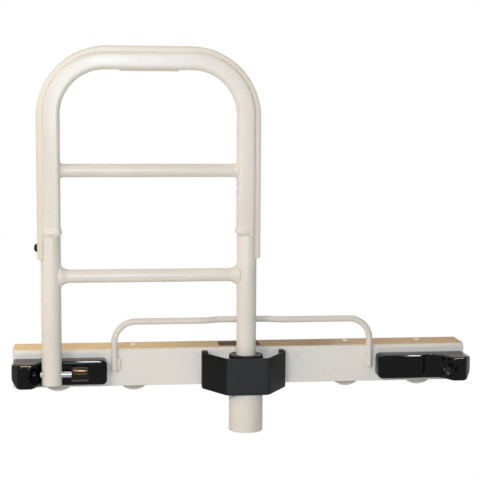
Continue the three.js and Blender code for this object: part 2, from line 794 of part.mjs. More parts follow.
// Legs: the left one holds the lock, the right one is the post that turns in the socket
function buildLegs() {
  const clearOfGuard = block(
    [-legSpacing - guardOuterOffset - touchGap, postY - guardHalfDepth - touchGap,
      channelTopZ + guardFootRise - touchGap],
    [-legSpacing - handleOuterOffset, postY + guardHalfDepth + touchGap, legTopZ + cutOverrun],
  );
  const pinWay = barX(pinRadius + touchGap, -legSpacing - legDiameter, -legSpacing + legDiameter,
    postY, pinZ, boltSides);
  const screwWay = barX(guardScrewDiameter / 2 + touchGap, -legSpacing - legDiameter, -legSpacing,
    postY, channelTopZ + guardScrewRise, boltSides);
  const tube = (x, low) => {
    const ring = turned([
      [0, -weldRingHeight], [legRadius, -weldRingHeight],
      [legRadius + weldRingRadius, -weldRingHeight / 2], [legRadius, 0], [0, 0],
    ]);
    ring.translate(x, postY, legTopZ);
    const side = x < 0 ? clearOfGuard : mirrorBox(clearOfGuard);
    const outside = join(post(legRadius, x, postY, low, legTopZ), cut(solid(ring), side));
    return cut(outside, post(legBore, x, postY, low - cutOverrun, legTopZ + cutOverrun));
  };
  addPiece('left_leg', cut(tube(-legSpacing, legFootZ), pinWay, screwWay), paints.cream);
  addPiece('pivot_leg', tube(0, channelTopZ - postBottomDrop), paints.cream);
  const cap = post(legBore - touchGap, -legSpacing, postY, legFootZ, legFootZ + footCapThickness);
  addPiece('foot_cap', cap, paints.nylon);
}

// The same box on the other leg: mirrored about the middle of the handle
function mirrorBox(box) {
  const { min, max } = box.boundingBox();
  return block([-legSpacing - max[0], min[1], min[2]], [-legSpacing - min[0], max[1], max[2]]);
}

// Rungs between the legs, with their welds
function buildRungs() {
  const radius = rungDiameter / 2;
  const rung = (name, rise, reach, flareRadius, flareLength, cutters) => {
    const z = channelTopZ + rise;
    const bar = barX(radius, -legSpacing + reach - flareLength / 2, -reach + flareLength / 2,
      postY, z);
    const flares = [-1, 1].map((side) => {
      const flare = turned([
        [0, -flareLength / 2], [flareRadius, -flareLength / 2],
        ...flareShares.map(([out, along]) => [
          radius + (flareRadius - radius) * out, flareLength * along,
        ]),
        [0, flareLength],
      ]);
      flare.rotateY(side < 0 ? Math.PI / 2 : -Math.PI / 2);
      flare.scale(1, flareDepthShare, 1);
      flare.translate(handleCentreX + side * (legSpacing / 2 - reach), postY, z);
      return solid(flare);
    });
    addPiece(name, cut(join(bar, ...flares), ...cutters(z)), paints.cream);
  };
  const half = handleDepth;
  rung('upper_rung', upperRungRise, legRadius, upperFlareRadius, upperFlareLength, (z) => [
    block([-legSpacing - half, postY - half, z - half],
      [-legSpacing + legRadius + touchGap, postY + half, z + half]),
    block([-legRadius - touchGap, postY - half, z - half], [half, postY + half, z + half]),
  ]);
  rung('lower_rung', lowerRungRise, legRadius, lowerFlareRadius, lowerFlareLength, (z) => [
    post(legRadius + touchGap, -legSpacing, postY, z - half, z + half),
    post(legRadius + touchGap, 0, postY, z - half, z + half),
  ]);
}

// Edge guard: a hollow strip round the outside of the handle, held by one screw in the left leg
function buildGuard() {
  const footZ = channelTopZ + guardFootRise;
  const inner = handleOuterOffset + touchGap;
  const body = plateXZ(handleOutline(-inner, guardOuterOffset, footZ, guardBendEase),
    postY - guardHalfDepth, postY + guardHalfDepth, guardEdge);
  const hollow = plateXZ(
    handleOutline(-inner + cutOverrun, guardOuterOffset - guardWall, footZ + guardWall, guardBendEase),
    postY - guardHalfDepth + guardWall, postY + guardHalfDepth - guardWall);
  const legs = [-legSpacing, 0].map((x) => post(legRadius + touchGap, x, postY,
    footZ - cutOverrun, legTopZ));
  const screwZ = channelTopZ + guardScrewRise;
  const outerX = -legSpacing - guardOuterOffset;
  const hole = barX(guardScrewDiameter / 2 + touchGap, outerX - cutOverrun, -legSpacing,
    postY, screwZ, boltSides);
  addPiece('edge_guard', cut(body, hollow, ...legs, hole), paints.guard);
  const fixing = screw(guardScrewDiameter, guardScrewHeadDiameter, guardScrewHeadHeight,
    guardScrewLength);
  fixing.rotateY(-Math.PI / 2);
  fixing.translate(outerX, postY, screwZ);
  addPiece('guard_screw', solid(fixing), paints.blackMatte);
}

// Trigger: a bar under the hand, with a slotted cam plate on its left end, and two springs
function buildTrigger() {
  const half = triggerLength / 2;
  const bottom = barFloorZ - triggerProud;
  const lipLow = barFloorZ + handleWall + triggerTravel + touchGap;
  const top = lipLow + triggerLipThickness;
  const left = handleCentreX - half;
  const shape = new THREE.Shape();
  shape.moveTo(left + triggerEdge, bottom);
  shape.lineTo(left + triggerLength - triggerEdge, bottom);
  shape.lineTo(left + triggerLength, bottom + triggerEdge);
  shape.lineTo(left + triggerLength, top);
  shape.lineTo(left, top);
  shape.lineTo(left, bottom + triggerEdge);
  const bar = plateXZ(shape, postY - triggerHalfDepth, postY + triggerHalfDepth, triggerEdge / 2);
  const lipHalf = handleDepth / 2 - handleEdge;
  const lip = block([left, postY - lipHalf, lipLow], [left + triggerLength, postY + lipHalf, top]);
  const cam = block([left - slideCam.length, postY - camThickness / 2, slideCam.low],
    [left + camThickness, postY + camThickness / 2, slideCam.high]);
  const tail = block([left, postY - camThickness / 2, lipLow],
    [left + camThickness, postY + camThickness / 2, slideCam.high]);
  const slot = slantedSlot(slideCam.dowelX, slideCam.dowelZ, triggerTravel, triggerTravel,
    slideDowelDiameter / 2 + slotPlay, postY - camThickness, postY + camThickness);
  addPiece('trigger', cut(join(bar, lip, cam, tail), slot), paints.guard);
  const roof = handleTopZ + handleOuterOffset - handleWall - touchGap;
  for (const [name, side] of [['trigger_spring_left', -1], ['trigger_spring_right', 1]]) {
    const x = handleCentreX + side * (half - camThickness) * triggerSpringShare;
    addPiece(name, spring(x, postY, top + touchGap, roof,
      triggerSpringDiameter, triggerSpringWire, triggerSpringTurns), paints.zinc);
  }
}

// A slot that rises to the left: its lower end is at x and z
function slantedSlot(x, z, run, rise, radius, nearY, farY) {
  const angle = Math.atan2(rise, -run);
  const shape = new THREE.Shape();
  shape.absarc(x, z, radius, angle + Math.PI / 2, angle + 3 * Math.PI / 2, false);
  shape.absarc(x - run, z + rise, radius, angle - Math.PI / 2, angle + Math.PI / 2, false);
  return plateXZ(shape, nearY, farY);
}

// Slide in the top bar: the trigger's cam pushes it along the bar, and it pulls the cable
function buildSlide() {
  const cheekIn = camThickness / 2 + cheekGap;
  const cheekOut = cheekIn + cheekThickness;
  const { dowelX, dowelZ } = slideCam;
  const blockRight = handleCentreX - triggerLength / 2 - slideCam.length - slideBlockGap;
  const blockLeft = blockRight - slideBlockLength;
  const cheekEnd = dowelX + slotHalf + camBorder / 2;
  const low = dowelZ - slideHeight / 2;
  const high = dowelZ + slideHeight / 2;
  const body = block([blockLeft, postY - cheekOut, low], [cheekEnd, postY + cheekOut, high]);
  const between = block([blockRight, postY - cheekIn, low - cutOverrun],
    [cheekEnd + cutOverrun, postY + cheekIn, high + cutOverrun]);
  const dowelWay = barY(slideDowelDiameter / 2 + slotPlay / 2, postY - handleDepth,
    postY + handleDepth, dowelX, dowelZ);
  addPiece('cable_slide', cut(body, between, dowelWay), paints.zinc);
  addPiece('slide_dowel', barY(slideDowelDiameter / 2, postY - cheekOut, postY + cheekOut,
    dowelX, dowelZ), paints.zinc);
  const wireRight = blockLeft - touchGap;
  addPiece('upper_wire', barX(wireDiameter / 2, wireRight - upperWireLength, wireRight,
    postY, dowelZ, wireSides), paints.zinc);
  return { wireZ: dowelZ, blockLeft };
}

// Cable: a stop in the bar, the casing round the bend and down the left leg, and an anchor plug
function buildCable({ wireZ, blockLeft }) {
  const stopRight = blockLeft - triggerTravel - touchGap;
  const stopLeft = stopRight - cableStopThickness;
  const casingStart = stopLeft - ferruleLength;
  const inside = handleDepth / 2 - handleEdge;
  const bendX = casingStart - touchGap;
  const casingBend = bendX + legSpacing;
  const floor = barFloorZ + handleWall + touchGap;
  const plate = block([stopLeft, postY - inside, floor], [stopRight, postY + inside, stopHigh(stopLeft)]);
  const ferrule = barX(ferruleDiameter / 2, casingStart, stopLeft + touchGap, postY, wireZ, boltSides);
  const wireWay = barX(wireDiameter / 2 + wirePlay, casingStart - cutOverrun,
    stopRight + cutOverrun, postY, wireZ, wireSides);
  addPiece('cable_stop', cut(join(plate, ferrule), wireWay), paints.zinc);
  const anchorTop = channelTopZ + anchorRise + anchorLength;
  const at = (x, z) => new THREE.Vector3(x, postY, z);
  const end = at(-legSpacing, wireZ - casingBend);
  const path = new THREE.CurvePath();
  path.add(quarter(at(bendX, wireZ), at(-legSpacing, wireZ), end));
  path.add(new THREE.LineCurve3(end, at(-legSpacing, anchorTop + touchGap)));
  addPiece('cable_casing', wireAlong(path, casingDiameter / 2, casingSteps, casingSides),
    paints.nylon);
  const anchor = post(legBore - touchGap, -legSpacing, postY, anchorTop - anchorLength, anchorTop);
  const hole = post(wireDiameter / 2 + wirePlay, -legSpacing, postY,
    anchorTop - anchorLength - cutOverrun, anchorTop + cutOverrun, wireSides);
  addPiece('cable_anchor', cut(anchor, hole), paints.zinc);
}

// The highest level inside the bent bar above x, left of the bend's start
function stopHigh(x) {
  const radius = handleBendRadius + handleOuterOffset - handleWall - touchGap;
  const across = Math.min(0, x + legSpacing - handleBendRadius);
  return handleTopZ - handleBendRadius + Math.sqrt(radius * radius - across * across);
}

// Release rod: a spring pushes it down, the cable pulls it up, and its two slotted fork plates
// carry the lock pin's dowel sideways
function buildReleaseRod() {
  const dowelRadius = dowelDiameter / 2;
  const slot = dowelRadius + slotPlay;
  const forkIn = pinRadius + forkGap;
  const forkOut = forkIn + forkThickness;
  const dowelX = -legSpacing + pinTravel / 2;
  const halfWidth = pinTravel / 2 + slot + forkBorder;
  const low = pinZ - slot - forkBorder;
  const slotTop = pinZ + triggerTravel + Math.max(slot + forkBorder, pinRadius + runningGap + touchGap);
  const bridgeTop = slotTop + forkBorder + forkThickness;
  const shoulderZ = channelTopZ + rodShoulderRise;
  const collarTop = shoulderZ + rodCollarThickness;
  const plates = block([-legSpacing - halfWidth, postY - forkOut, low],
    [-legSpacing + halfWidth, postY + forkOut, slotTop]);
  const pinWay = block([-legSpacing - legRadius, postY - forkIn, low - cutOverrun],
    [-legSpacing + legRadius, postY + forkIn, slotTop - touchGap]);
  const bridge = block([-legSpacing - rodDiameter / 2, postY - forkOut, slotTop - touchGap],
    [-legSpacing + rodDiameter / 2, postY + forkOut, bridgeTop]);
  const way = slantedSlot(dowelX, pinZ, pinTravel, triggerTravel, slot,
    postY - legRadius, postY + legRadius);
  const shank = post(rodDiameter / 2, -legSpacing, postY, bridgeTop - touchGap, collarTop, boltSides);
  const collar = post(rodCollarDiameter / 2, -legSpacing, postY, shoulderZ, collarTop);
  addPiece('release_rod', cut(join(cut(plates, pinWay), bridge, shank, collar), way), paints.zinc);
  const wireLow = collarTop + touchGap;
  const anchorLow = channelTopZ + anchorRise;
  addPiece('lower_wire', post(wireDiameter / 2, -legSpacing, postY, wireLow,
    anchorLow + anchorLength - cutOverrun, wireSides), paints.zinc);
  addPiece('rod_spring', spring(-legSpacing, postY, collarTop + touchGap, anchorLow - touchGap,
    rodSpringDiameter, rodSpringWire, rodSpringTurns), paints.zinc);
  return { dowelX, forkOut };
}

// Lock pin, its dowel and the knob that draws it back by hand
function buildLockPin({ dowelX, forkOut }) {
  const tip = -legSpacing - legRadius - pinNoseOut;
  const knobNear = -legSpacing + legRadius + knobStandoff;
  const pinEnd = knobNear + knobBore;
  const pin = turned([
    [0, 0], [pinRadius - pinTip, 0], [pinRadius, pinTip], [pinRadius, pinEnd - tip], [0, pinEnd - tip],
  ], knobSides);
  pin.rotateY(Math.PI / 2);
  pin.translate(tip, postY, pinZ);
  const dowelWay = barY(dowelDiameter / 2 + slotPlay / 2, postY - legRadius, postY + legRadius,
    dowelX, pinZ);
  addPiece('lock_pin', cut(solid(pin), dowelWay), paints.chrome);
  addPiece('pin_dowel', barY(dowelDiameter / 2, postY - forkOut, postY + forkOut, dowelX, pinZ),
    paints.zinc);
  const radius = knobDiameter / 2;
  const bore = pinRadius + touchGap;
  const turn = knobEdge * edgeTurnShare;
  const knob = turned([
    [0, knobBore + touchGap], [bore, knobBore + touchGap], [bore, 0],
    [radius - knobEdge, 0], [radius - turn, turn], [radius, knobEdge],
    [radius, knobLength - knobEdge], [radius - turn, knobLength - turn],
    [radius - knobEdge, knobLength], [0, knobLength],
  ], knobSides);
  knob.rotateY(Math.PI / 2);
  knob.translate(knobNear, postY, pinZ);
  addPiece('pin_knob', solid(knob), paints.blackGloss);
}

// What keeps the post in its socket: a plug in the leg's end, a washer and a bolt
function buildRetainer() {
  const legEnd = channelTopZ - postBottomDrop;
  const radius = retainerDiameter / 2;
  const way = post(radius + touchGap, 0, postY, legEnd - endPlugLength, legEnd + retainerLength
    + runningGap, boltSides);
  addPiece('post_end_plug', cut(post(legBore - touchGap, 0, postY, legEnd, legEnd + endPlugLength),
    way), paints.zinc);
  const washerTop = legEnd - touchGap;
  const washerLow = washerTop - washerThickness;
  addPiece('retaining_washer', cut(post(washerDiameter / 2, 0, postY, washerLow, washerTop), way),
    paints.zinc);
  const bolt = join(
    post(radius, 0, postY, washerLow - touchGap - retainerHeadHeight, legEnd + retainerLength,
      boltSides),
    post(retainerHeadDiameter / 2, 0, postY, washerLow - touchGap - retainerHeadHeight,
      washerLow - touchGap, hexSides),
  );
  addPiece('retaining_bolt', bolt, paints.zinc);
}

buildChannel();
buildKeeper();
buildSocket();
buildCover();
buildCatch('left_catch', -1);
buildCatch('right_catch', 1);
buildClamps();
buildHandle();
buildLegs();
buildRungs();
buildGuard();
buildTrigger();
buildCable(buildSlide());
buildLockPin(buildReleaseRod());
buildRetainer();

export default rail;
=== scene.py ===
import json
from math import cos, pi, radians, sin

import bpy
import numpy as np
from mathutils import Matrix, Vector


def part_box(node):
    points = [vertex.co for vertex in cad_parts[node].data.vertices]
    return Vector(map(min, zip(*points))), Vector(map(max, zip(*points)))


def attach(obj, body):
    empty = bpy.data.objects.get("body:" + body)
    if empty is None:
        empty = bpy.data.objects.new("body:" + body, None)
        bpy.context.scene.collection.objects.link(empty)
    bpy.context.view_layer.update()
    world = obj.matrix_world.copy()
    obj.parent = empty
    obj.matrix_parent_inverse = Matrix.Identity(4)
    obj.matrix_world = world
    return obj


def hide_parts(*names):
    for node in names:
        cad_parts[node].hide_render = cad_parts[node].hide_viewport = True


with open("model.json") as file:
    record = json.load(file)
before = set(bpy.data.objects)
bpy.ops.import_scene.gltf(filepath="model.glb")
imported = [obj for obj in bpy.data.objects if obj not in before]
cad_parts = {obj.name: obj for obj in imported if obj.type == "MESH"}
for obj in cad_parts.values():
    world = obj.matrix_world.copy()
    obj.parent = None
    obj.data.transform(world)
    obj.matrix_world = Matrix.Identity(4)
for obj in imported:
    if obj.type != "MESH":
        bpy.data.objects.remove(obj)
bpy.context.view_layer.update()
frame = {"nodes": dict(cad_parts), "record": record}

# Camera: a long lens in front of the rail and left of its post, turned a little right and down,
# with a small roll. Its place and its angles were fitted to the edges in the photograph.
lens_place = (-0.22487, -1.82726, 0.38154)
turn, tilt, roll = radians(6.87), radians(6.05), radians(0.31)
ahead = np.array([sin(turn) * cos(tilt), cos(turn) * cos(tilt), -sin(tilt)])
level = np.array([cos(turn), -sin(turn), 0.0])
upright = np.cross(level, ahead)
right, up = level * cos(roll) + upright * sin(roll), upright * cos(roll) - level * sin(roll)
camera = bpy.data.objects.new("camera", bpy.data.cameras.new("camera"))
camera.data.lens = 94.28
camera.data.sensor_width = 36
camera.data.clip_end = 60
camera.matrix_world = Matrix([*zip(right, up, -ahead, lens_place), (0, 0, 0, 1)])
bpy.context.scene.collection.objects.link(camera)
bpy.context.scene.camera = camera
bpy.context.scene.view_settings.view_transform = "Standard"


# Mount channel: one folded, powder-coated steel sheet with a back lip, a window punched in its
# flange and holes for the bolts. Its bends are rounded outside and in, its cut ends deburred.
class Value:
    """A node's output. Arithmetic on it, from either side, adds Math nodes."""

    def __init__(self, nodes, socket):
        self.nodes, self.socket = nodes, socket

    def math(self, operation, *others):
        """A Math node on this value and others."""
        return self.nodes.node("ShaderNodeMath", dict(enumerate((self, *others))), operation=operation)

    def __add__(self, other):
        return self.math("ADD", other)

    def __sub__(self, other):
        return self.math("SUBTRACT", other)

    def __mul__(self, other):
        return self.math("MULTIPLY", other)

    __radd__, __rmul__ = __add__, __mul__

    def __rsub__(self, other):
        return self * -1 + other

    def step(self, low, high):
        """0 below low, 1 above high, smooth between; low may be the larger."""
        inputs = {"Value": self, "From Min": low, "From Max": high}
        return self.nodes.node("ShaderNodeMapRange", inputs, "Result", interpolation_type="SMOOTHSTEP")


class Nodes:
    """A node tree and the one way in which a node is added to it."""

    def __init__(self, tree):
        self.tree = tree

    def fill(self, node, inputs):
        """Sets a node's inputs, or links them where the value is a node's output."""
        for socket, value in inputs.items():
            if isinstance(value, Value):
                self.tree.links.new(value.socket, node.inputs[socket])
            else:
                node.inputs[socket].default_value = value

    def node(self, kind, inputs, output=0, **settings):
        """Adds a node, with its settings before its inputs, and returns one of its outputs."""
        node = self.tree.nodes.new(kind)
        for name, value in settings.items():
            setattr(node, name, value)
        self.fill(node, inputs)
        return Value(self, node.outputs[output])


class Paint(Nodes):
    """A procedural material whose shader's constants are set by name."""

    def __init__(self, name, **constants):
        self.material = bpy.data.materials.new(name)
        self.material.use_nodes = True
        super().__init__(self.material.node_tree)
        self.shader = self.tree.nodes["Principled BSDF"]
        for socket, value in constants.items():
            self.shader.inputs[socket.replace("_", " ")].default_value = value
        self.place = self.node("ShaderNodeTexCoord", {}, "Object")

    def noise(self, size, stretch=(1, 1, 1), detail=2.0, shift=(0, 0, 0), rough=0.5):
        """Noise with features of about size metres, longer along an axis by its stretch."""
        scale = [1 / (size * part) for part in stretch]
        vector = self.node("ShaderNodeMapping", {"Vector": self.place, "Scale": scale, "Location": shift})
        return self.node("ShaderNodeTexNoise",
                         {"Vector": vector, "Scale": 1.0, "Detail": detail, "Roughness": rough}, "Fac")

    def spots(self, size, radius, shift=(0, 0, 0)):
        """1 inside small round spots, one in each cell of about size metres, else 0."""
        vector = self.node("ShaderNodeMapping",
                           {"Vector": self.place, "Scale": (1 / size,) * 3, "Location": shift})
        far = self.node("ShaderNodeTexVoronoi", {"Vector": vector, "Scale": 1.0}, "Distance")
        return far.step(radius, radius * 0.6)

    def near(self, point, reach):
        """1 at a point and 0 beyond reach from it."""
        far = self.node("ShaderNodeVectorMath", {0: self.place, 1: point}, "Value", operation="DISTANCE")
        return far.step(reach, 0.0)

    def along(self, axis):
        """The place along an axis, in metres."""
        return self.node("ShaderNodeSeparateXYZ", {0: self.place}, axis)

    def blend(self, share, first, second):
        """A colour from first to second as share goes from 0 to 1."""
        colours = [c if isinstance(c, Value) else (*c, 1.0) for c in (first, second)]
        return self.node("ShaderNodeMix", {0: share, 6: colours[0], 7: colours[1]}, 2, data_type="RGBA")

    def bump(self, height, depth, under=None):
        """A normal raised by height times depth metres, on top of another normal."""
        inputs = {"Height": height, "Distance": depth, "Strength": 1.0}
        if under:
            inputs["Normal"] = under
        return self.node("ShaderNodeBump", inputs, "Normal")

    def finish(self, colour, roughness, normal):
        """Fills the shader and returns the material."""
        self.fill(self.shader, {"Base Color": colour, "Roughness": roughness, "Normal": normal})
        return self.material


cream, chalk = ((0.79, 0.73, 0.65), (0.83, 0.78, 0.71)), ((0.85, 0.81, 0.755), (0.88, 0.845, 0.79))


def powder_coat(name, shift, rub=None, tones=cream, shine=0.35, layer=None):
    """Powder coat in two tones: orange peel, slow clouding, fine nibs, faint rub marks within reach
    of a point if a rub is given, and on top of it a layer if one is given."""
    paint = Paint(name, Specular_IOR_Level=shine)
    cloud = paint.noise(0.09, detail=3, shift=shift)
    smear = paint.noise(0.025, detail=5, shift=shift, rough=0.6)
    nibs = paint.spots(0.006, 0.055, shift) * paint.noise(0.03, shift=shift).step(0.5, 0.65)
    colour = paint.blend(cloud.step(0.3, 0.7), *tones)
    colour = paint.blend(smear.step(0.5, 0.8) * 0.18, colour, (0.66, 0.60, 0.52))
    colour = paint.blend(nibs * 0.5, colour, (0.42, 0.37, 0.31))
    roughness = cloud * 0.08 + smear * 0.07 + 0.195
    if rub:
        worn = paint.near(*rub) * paint.noise(0.004, detail=6, shift=shift, rough=0.7).step(0.6, 0.74)
        colour = paint.blend(worn * 0.45, colour, (0.50, 0.46, 0.41))
        roughness = roughness + worn * 0.25
    if layer:
        colour, roughness = layer(paint, cloud, colour, roughness)
    peel = paint.bump(paint.noise(0.0016, detail=2, shift=shift), 0.00006)
    return paint.finish(colour, roughness, paint.bump(nibs, 0.00002, peel))


def painted_flange_light(paint, cloud, colour, roughness):
    """The channel's layer: painted warm light on the flange's top, bright at its left end and darker
    towards the middle, a duller top, and a thin painted shade inside the fold and on the window's cut edges."""

    def ramp(place, start, full):
        return place.step(start / 1000, full / 1000)

    x, y, z = (paint.along(axis) for axis in range(3))
    # Painted warm light on the flange's top: bright at the left end, darker towards the middle, a little
    # lighter at the right.
    run = x + cloud * 0.06 - 0.03
    tan = paint.blend(run.step(-0.17, 0.06), (0.95, 0.74, 0.44), (0.46, 0.34, 0.215))
    tan = paint.blend(run.step(0.11, 0.20), tan, (0.77, 0.58, 0.39))
    on_top = ramp(z, top - 1.5, top - 0.1)
    # Painted shade: dark brown inside the fold and on the window's cut edges.
    inside = ramp(y, -0.9, -0.5) * ramp(z, top - 2.0, top - 2.4) * ramp(y, lip - 0.1, lip - 0.4)
    (left, front), (right, back) = window_low, window_high
    aside, half = (x - (left + right) / 2000).math("ABSOLUTE"), (right - left) / 2
    punched = ramp(aside, half + 1.0, half + 0.2) * ramp(z, top - 0.1, top - 0.4)
    punched = punched * ramp(y, front - 0.8, front - 0.2) * ramp(y, back + 0.8, back + 0.2)
    painted_shade = inside.math("MAXIMUM", punched)
    colour = paint.blend(painted_shade * 0.92, paint.blend(on_top * 0.93, colour, tan), (0.15, 0.12, 0.09))
    return colour, roughness + on_top * 0.35


def rounded(points, radius, steps=6, closed=True):
    """The points' polygon, or open line, with each corner turned into an arc of its radius."""
    points = np.array(points, float)
    count = len(points)
    radii = np.broadcast_to(np.asarray(radius, float), (count,))
    result = []
    for i, point in enumerate(points):
        if (not closed and i in (0, count - 1)) or radii[i] <= 0:
            result.append(point)
            continue
        back, on = points[i - 1] - point, points[(i + 1) % count] - point
        lengths = np.linalg.norm(back), np.linalg.norm(on)
        back, on = back / lengths[0], on / lengths[1]
        half = np.arccos(np.clip(back @ on, -1, 1)) / 2
        if half > pi / 2 - 0.01:
            result.append(point)
            continue
        reach = min(radii[i] / np.tan(half), 0.499 * min(lengths))
        centre = point + (back + on) / np.linalg.norm(back + on) * reach / cos(half)
        start, end, swing = point + back * reach - centre, point + on * reach - centre, pi - 2 * half
        for t in np.linspace(0, 1, steps + 1):
            result.append(centre + (start * sin((1 - t) * swing) + end * sin(t * swing)) / sin(swing))
    return np.array(result)


def build(name, points, faces, sharp=35):
    """A mesh object from millimetres, smooth but for edges sharper than an angle in degrees."""
    mesh = bpy.data.meshes.new(name)
    mesh.from_pydata([tuple(p) for p in np.asarray(points) / 1000], [], faces)
    mesh.update()
    mesh.shade_smooth()
    mesh.set_sharp_from_angle(angle=radians(sharp))
    piece = bpy.data.objects.new(name, mesh)
    bpy.context.scene.collection.objects.link(piece)
    return piece


def sweep(name, section, path, side=(0, 1, 0), edge=0.0):
    """A closed section (u, v) carried along a path: a ring is the path's point plus u times
    side x tangent plus v times the side, and both ends are rounded by quarter circles of edge."""
    section, path = np.array(section, float), np.array(path, float)
    chord = np.roll(section, -1, 0) - np.roll(section, 1, 0)
    inward = np.stack([-chord[:, 1], chord[:, 0]], 1)
    inward /= np.linalg.norm(inward, axis=1)[:, None]
    tangent = np.gradient(path, axis=0)
    tangent /= np.linalg.norm(tangent, axis=1)[:, None]
    across = np.cross(side, tangent)
    across /= np.linalg.norm(across, axis=1)[:, None]
    upright = np.cross(tangent, across)
    stations = [(i, 0.0, 0.0) for i in range(len(path))]
    if edge:
        turns = np.linspace(0, pi / 2, 4)
        stations = ([(0, edge * (1 - sin(a)), edge * (1 - cos(a))) for a in turns[::-1]]
                    + stations[1:-1]
                    + [(len(path) - 1, -edge * (1 - sin(a)), edge * (1 - cos(a))) for a in turns])
    rings = []
    for i, along, inset in stations:
        flat = section + inward * inset
        rings.append(path[i] + tangent[i] * along + flat[:, :1] * across[i] + flat[:, 1:] * upright[i])
    return build(name, np.concatenate(rings), skin(len(rings), len(section)))


def skin(loops, count):
    """The faces of a closed shape made of loops that follow each other, with count points each."""
    faces = [(i * count + j, i * count + (j + 1) % count, (i + 1) * count + (j + 1) % count,
              (i + 1) * count + j) for i in range(loops - 1) for j in range(count)]
    return [*faces, tuple(range(count))[::-1], tuple((loops - 1) * count + j for j in range(count))]


def turned(name, profile, place=(0, 0, 0), axis="Z", sides=64, sharp=35):
    """A lathe shape: each profile point (radius, height) goes round the axis from place, at its
    radius times the cosine and the sine of the angle."""
    profile = np.array(profile, float)
    angles = np.arange(sides) * 2 * pi / sides
    radius, height = profile[:, :1], profile[:, 1:]
    rings = np.stack([radius * np.cos(angles), radius * np.sin(angles),
                      np.repeat(height, sides, 1)], 2)
    rings = rings[:, :, {"X": [2, 0, 1], "Y": [1, 2, 0], "Z": [0, 1, 2]}[axis]]
    points, faces, rows = [], [], []
    for ring, r in zip(rings, profile[:, 0]):
        if r < 1e-6:
            rows.append([len(points)] * sides)
            points.append(ring[0])
        else:
            rows.append(list(range(len(points), len(points) + sides)))
            points.extend(ring)
    for low, high in zip(rows, rows[1:]):
        for j in range(sides):
            k = (j + 1) % sides
            face = tuple(dict.fromkeys((low[j], low[k], high[k], high[j])))
            if len(face) > 2:
                faces.append(face)
    return build(name, np.array(points) + place, faces, sharp)


def bar(name, radius, low, high, place, axis, sides=48):
    """A plain round bar with flat ends, used as a cutting tool."""
    return turned(name, [(0, low), (radius, low), (radius, high), (0, high)], place, axis, sides)


def brick(name, low, high, edge=0.0, steps=5):
    """A block whose upright edges are rounded."""
    (x0, y0, z0), (x1, y1, z1) = low, high
    section = rounded([(x0, y0), (x1, y0), (x1, y1), (x0, y1)], edge, steps)
    return sweep(name, section, [(0, 0, z0), (0, 0, z1)])


def bake(piece, sharp=35):
    """Turns a piece's modifiers into its mesh."""
    view = bpy.context.evaluated_depsgraph_get()
    mesh = bpy.data.meshes.new_from_object(piece.evaluated_get(view))
    piece.modifiers.clear()
    piece.data = mesh
    mesh.shade_smooth()
    mesh.set_sharp_from_angle(angle=radians(sharp))


def carve(piece, *tools, operation="DIFFERENCE", sharp=35):
    """Cuts tools from a piece, or meets or joins them with it, and deletes the tools."""
    for tool in tools:
        change = piece.modifiers.new("cut", "BOOLEAN")
        change.object, change.operation, change.solver = tool, operation, "EXACT"
    bake(piece, sharp)
    for tool in tools:
        bpy.data.objects.remove(tool)
    return piece


def dress(piece, material, body, slot, *nodes):
    """Gives a piece its material and its body, and hides the solids that it stands for. Its slot is not
    used.
    """
    piece.data.materials.clear()
    piece.data.materials.append(material)
    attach(piece, body)
    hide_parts(*nodes)
    return piece


def extent(node):
    """The low and the high corner of one of the frame's solids, in millimetres."""
    return [(np.array(corner) * 1000).round(3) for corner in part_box(node)]


def middle(node):
    """The middle of one of the frame's solids, in millimetres."""
    return sum(extent(node)) / 2


def sunk_hole(node):
    """The cutter of a countersunk hole through the web for one of its screws."""
    radius, past = shank_radius(node), 2.0
    neck = -(head_share - 1) * radius - 2 * gap
    wide = radius + gap
    cone = [(0, -sheet - past), (wide, -sheet - past), (wide, neck), (wide + past - neck, past), (0, past)]
    x, _, z = middle(node)
    return turned("hole", cone, (x, 0, z), "Y", 48)


def shank_radius(node):
    """A web screw's radius, from the width of its head."""
    low, high = extent(node)
    return round((high[0] - low[0]) / 2 / head_share, 3)


gap, head_share = 0.3, 1.75
sheet, bend, burr, lip_depth = 3.0, 4.0, 0.5, 19.0
window_low, window_high, window_corner = (-33.5, 7.0), (28.5, 43.9), 2.0
bolt_radius, drill_low, drill_high = 3.0, 20.0, 32.0
(_, face, _), (end, lip, top) = extent("mount_channel")
clamp_places = [middle(f"clamp_bolt_{number}")[:2] for number in range(1, 5)]
catch_bolts = [f"{side}_catch_bolt_{row}" for side in ("left", "right") for row in ("inner", "outer")]
cover_screws = ["cover_screw_left", "cover_screw_right"]
section = rounded([(face, -top), (0, -top), (0, top - sheet), (lip - sheet, top - sheet),
                   (lip - sheet, top - lip_depth), (lip, top - lip_depth), (lip, top), (face, top)],
                  [burr, burr, bend, bend, burr, burr, bend + sheet, bend + sheet], 8)
channel = sweep("channel", section, [(x, 0, 0) for x in np.linspace(-end, end, 24)], (0, 0, 1), burr)
window = brick("window", (*window_low, drill_low), (*window_high, drill_high), window_corner)
carve(channel, window,
      *[bar("hole", bolt_radius + gap, drill_low, drill_high, (*place, 0), "Z") for place in clamp_places],
      *[sunk_hole(node) for node in (*catch_bolts, *cover_screws)])
# The flange's warm tan is painted light, and the dark inside and window edges are painted shade, both from
# the layer.
channel_coat = powder_coat("channel_coat", (0, 0, 0), rub=((-0.27, -0.003, -0.01), 0.07), tones=chalk,
                           shine=0.05, layer=painted_flange_light)
dress(channel, channel_coat, "frame", "cream_paint", "mount_channel")


# Mattress keeper: one bent, powder-coated steel wire, jogged back behind the post and welded by its
# feet to the channel's face. Each weld is a short rippled bead on the foot's inner side.
def arc(centre, radius, start, end, steps):
    """Points round a circle in X and Z, angles in degrees."""
    angles = np.radians(np.linspace(start, end, steps))
    return [(centre[0] + radius * cos(a), centre[1] + radius * sin(a)) for a in angles]


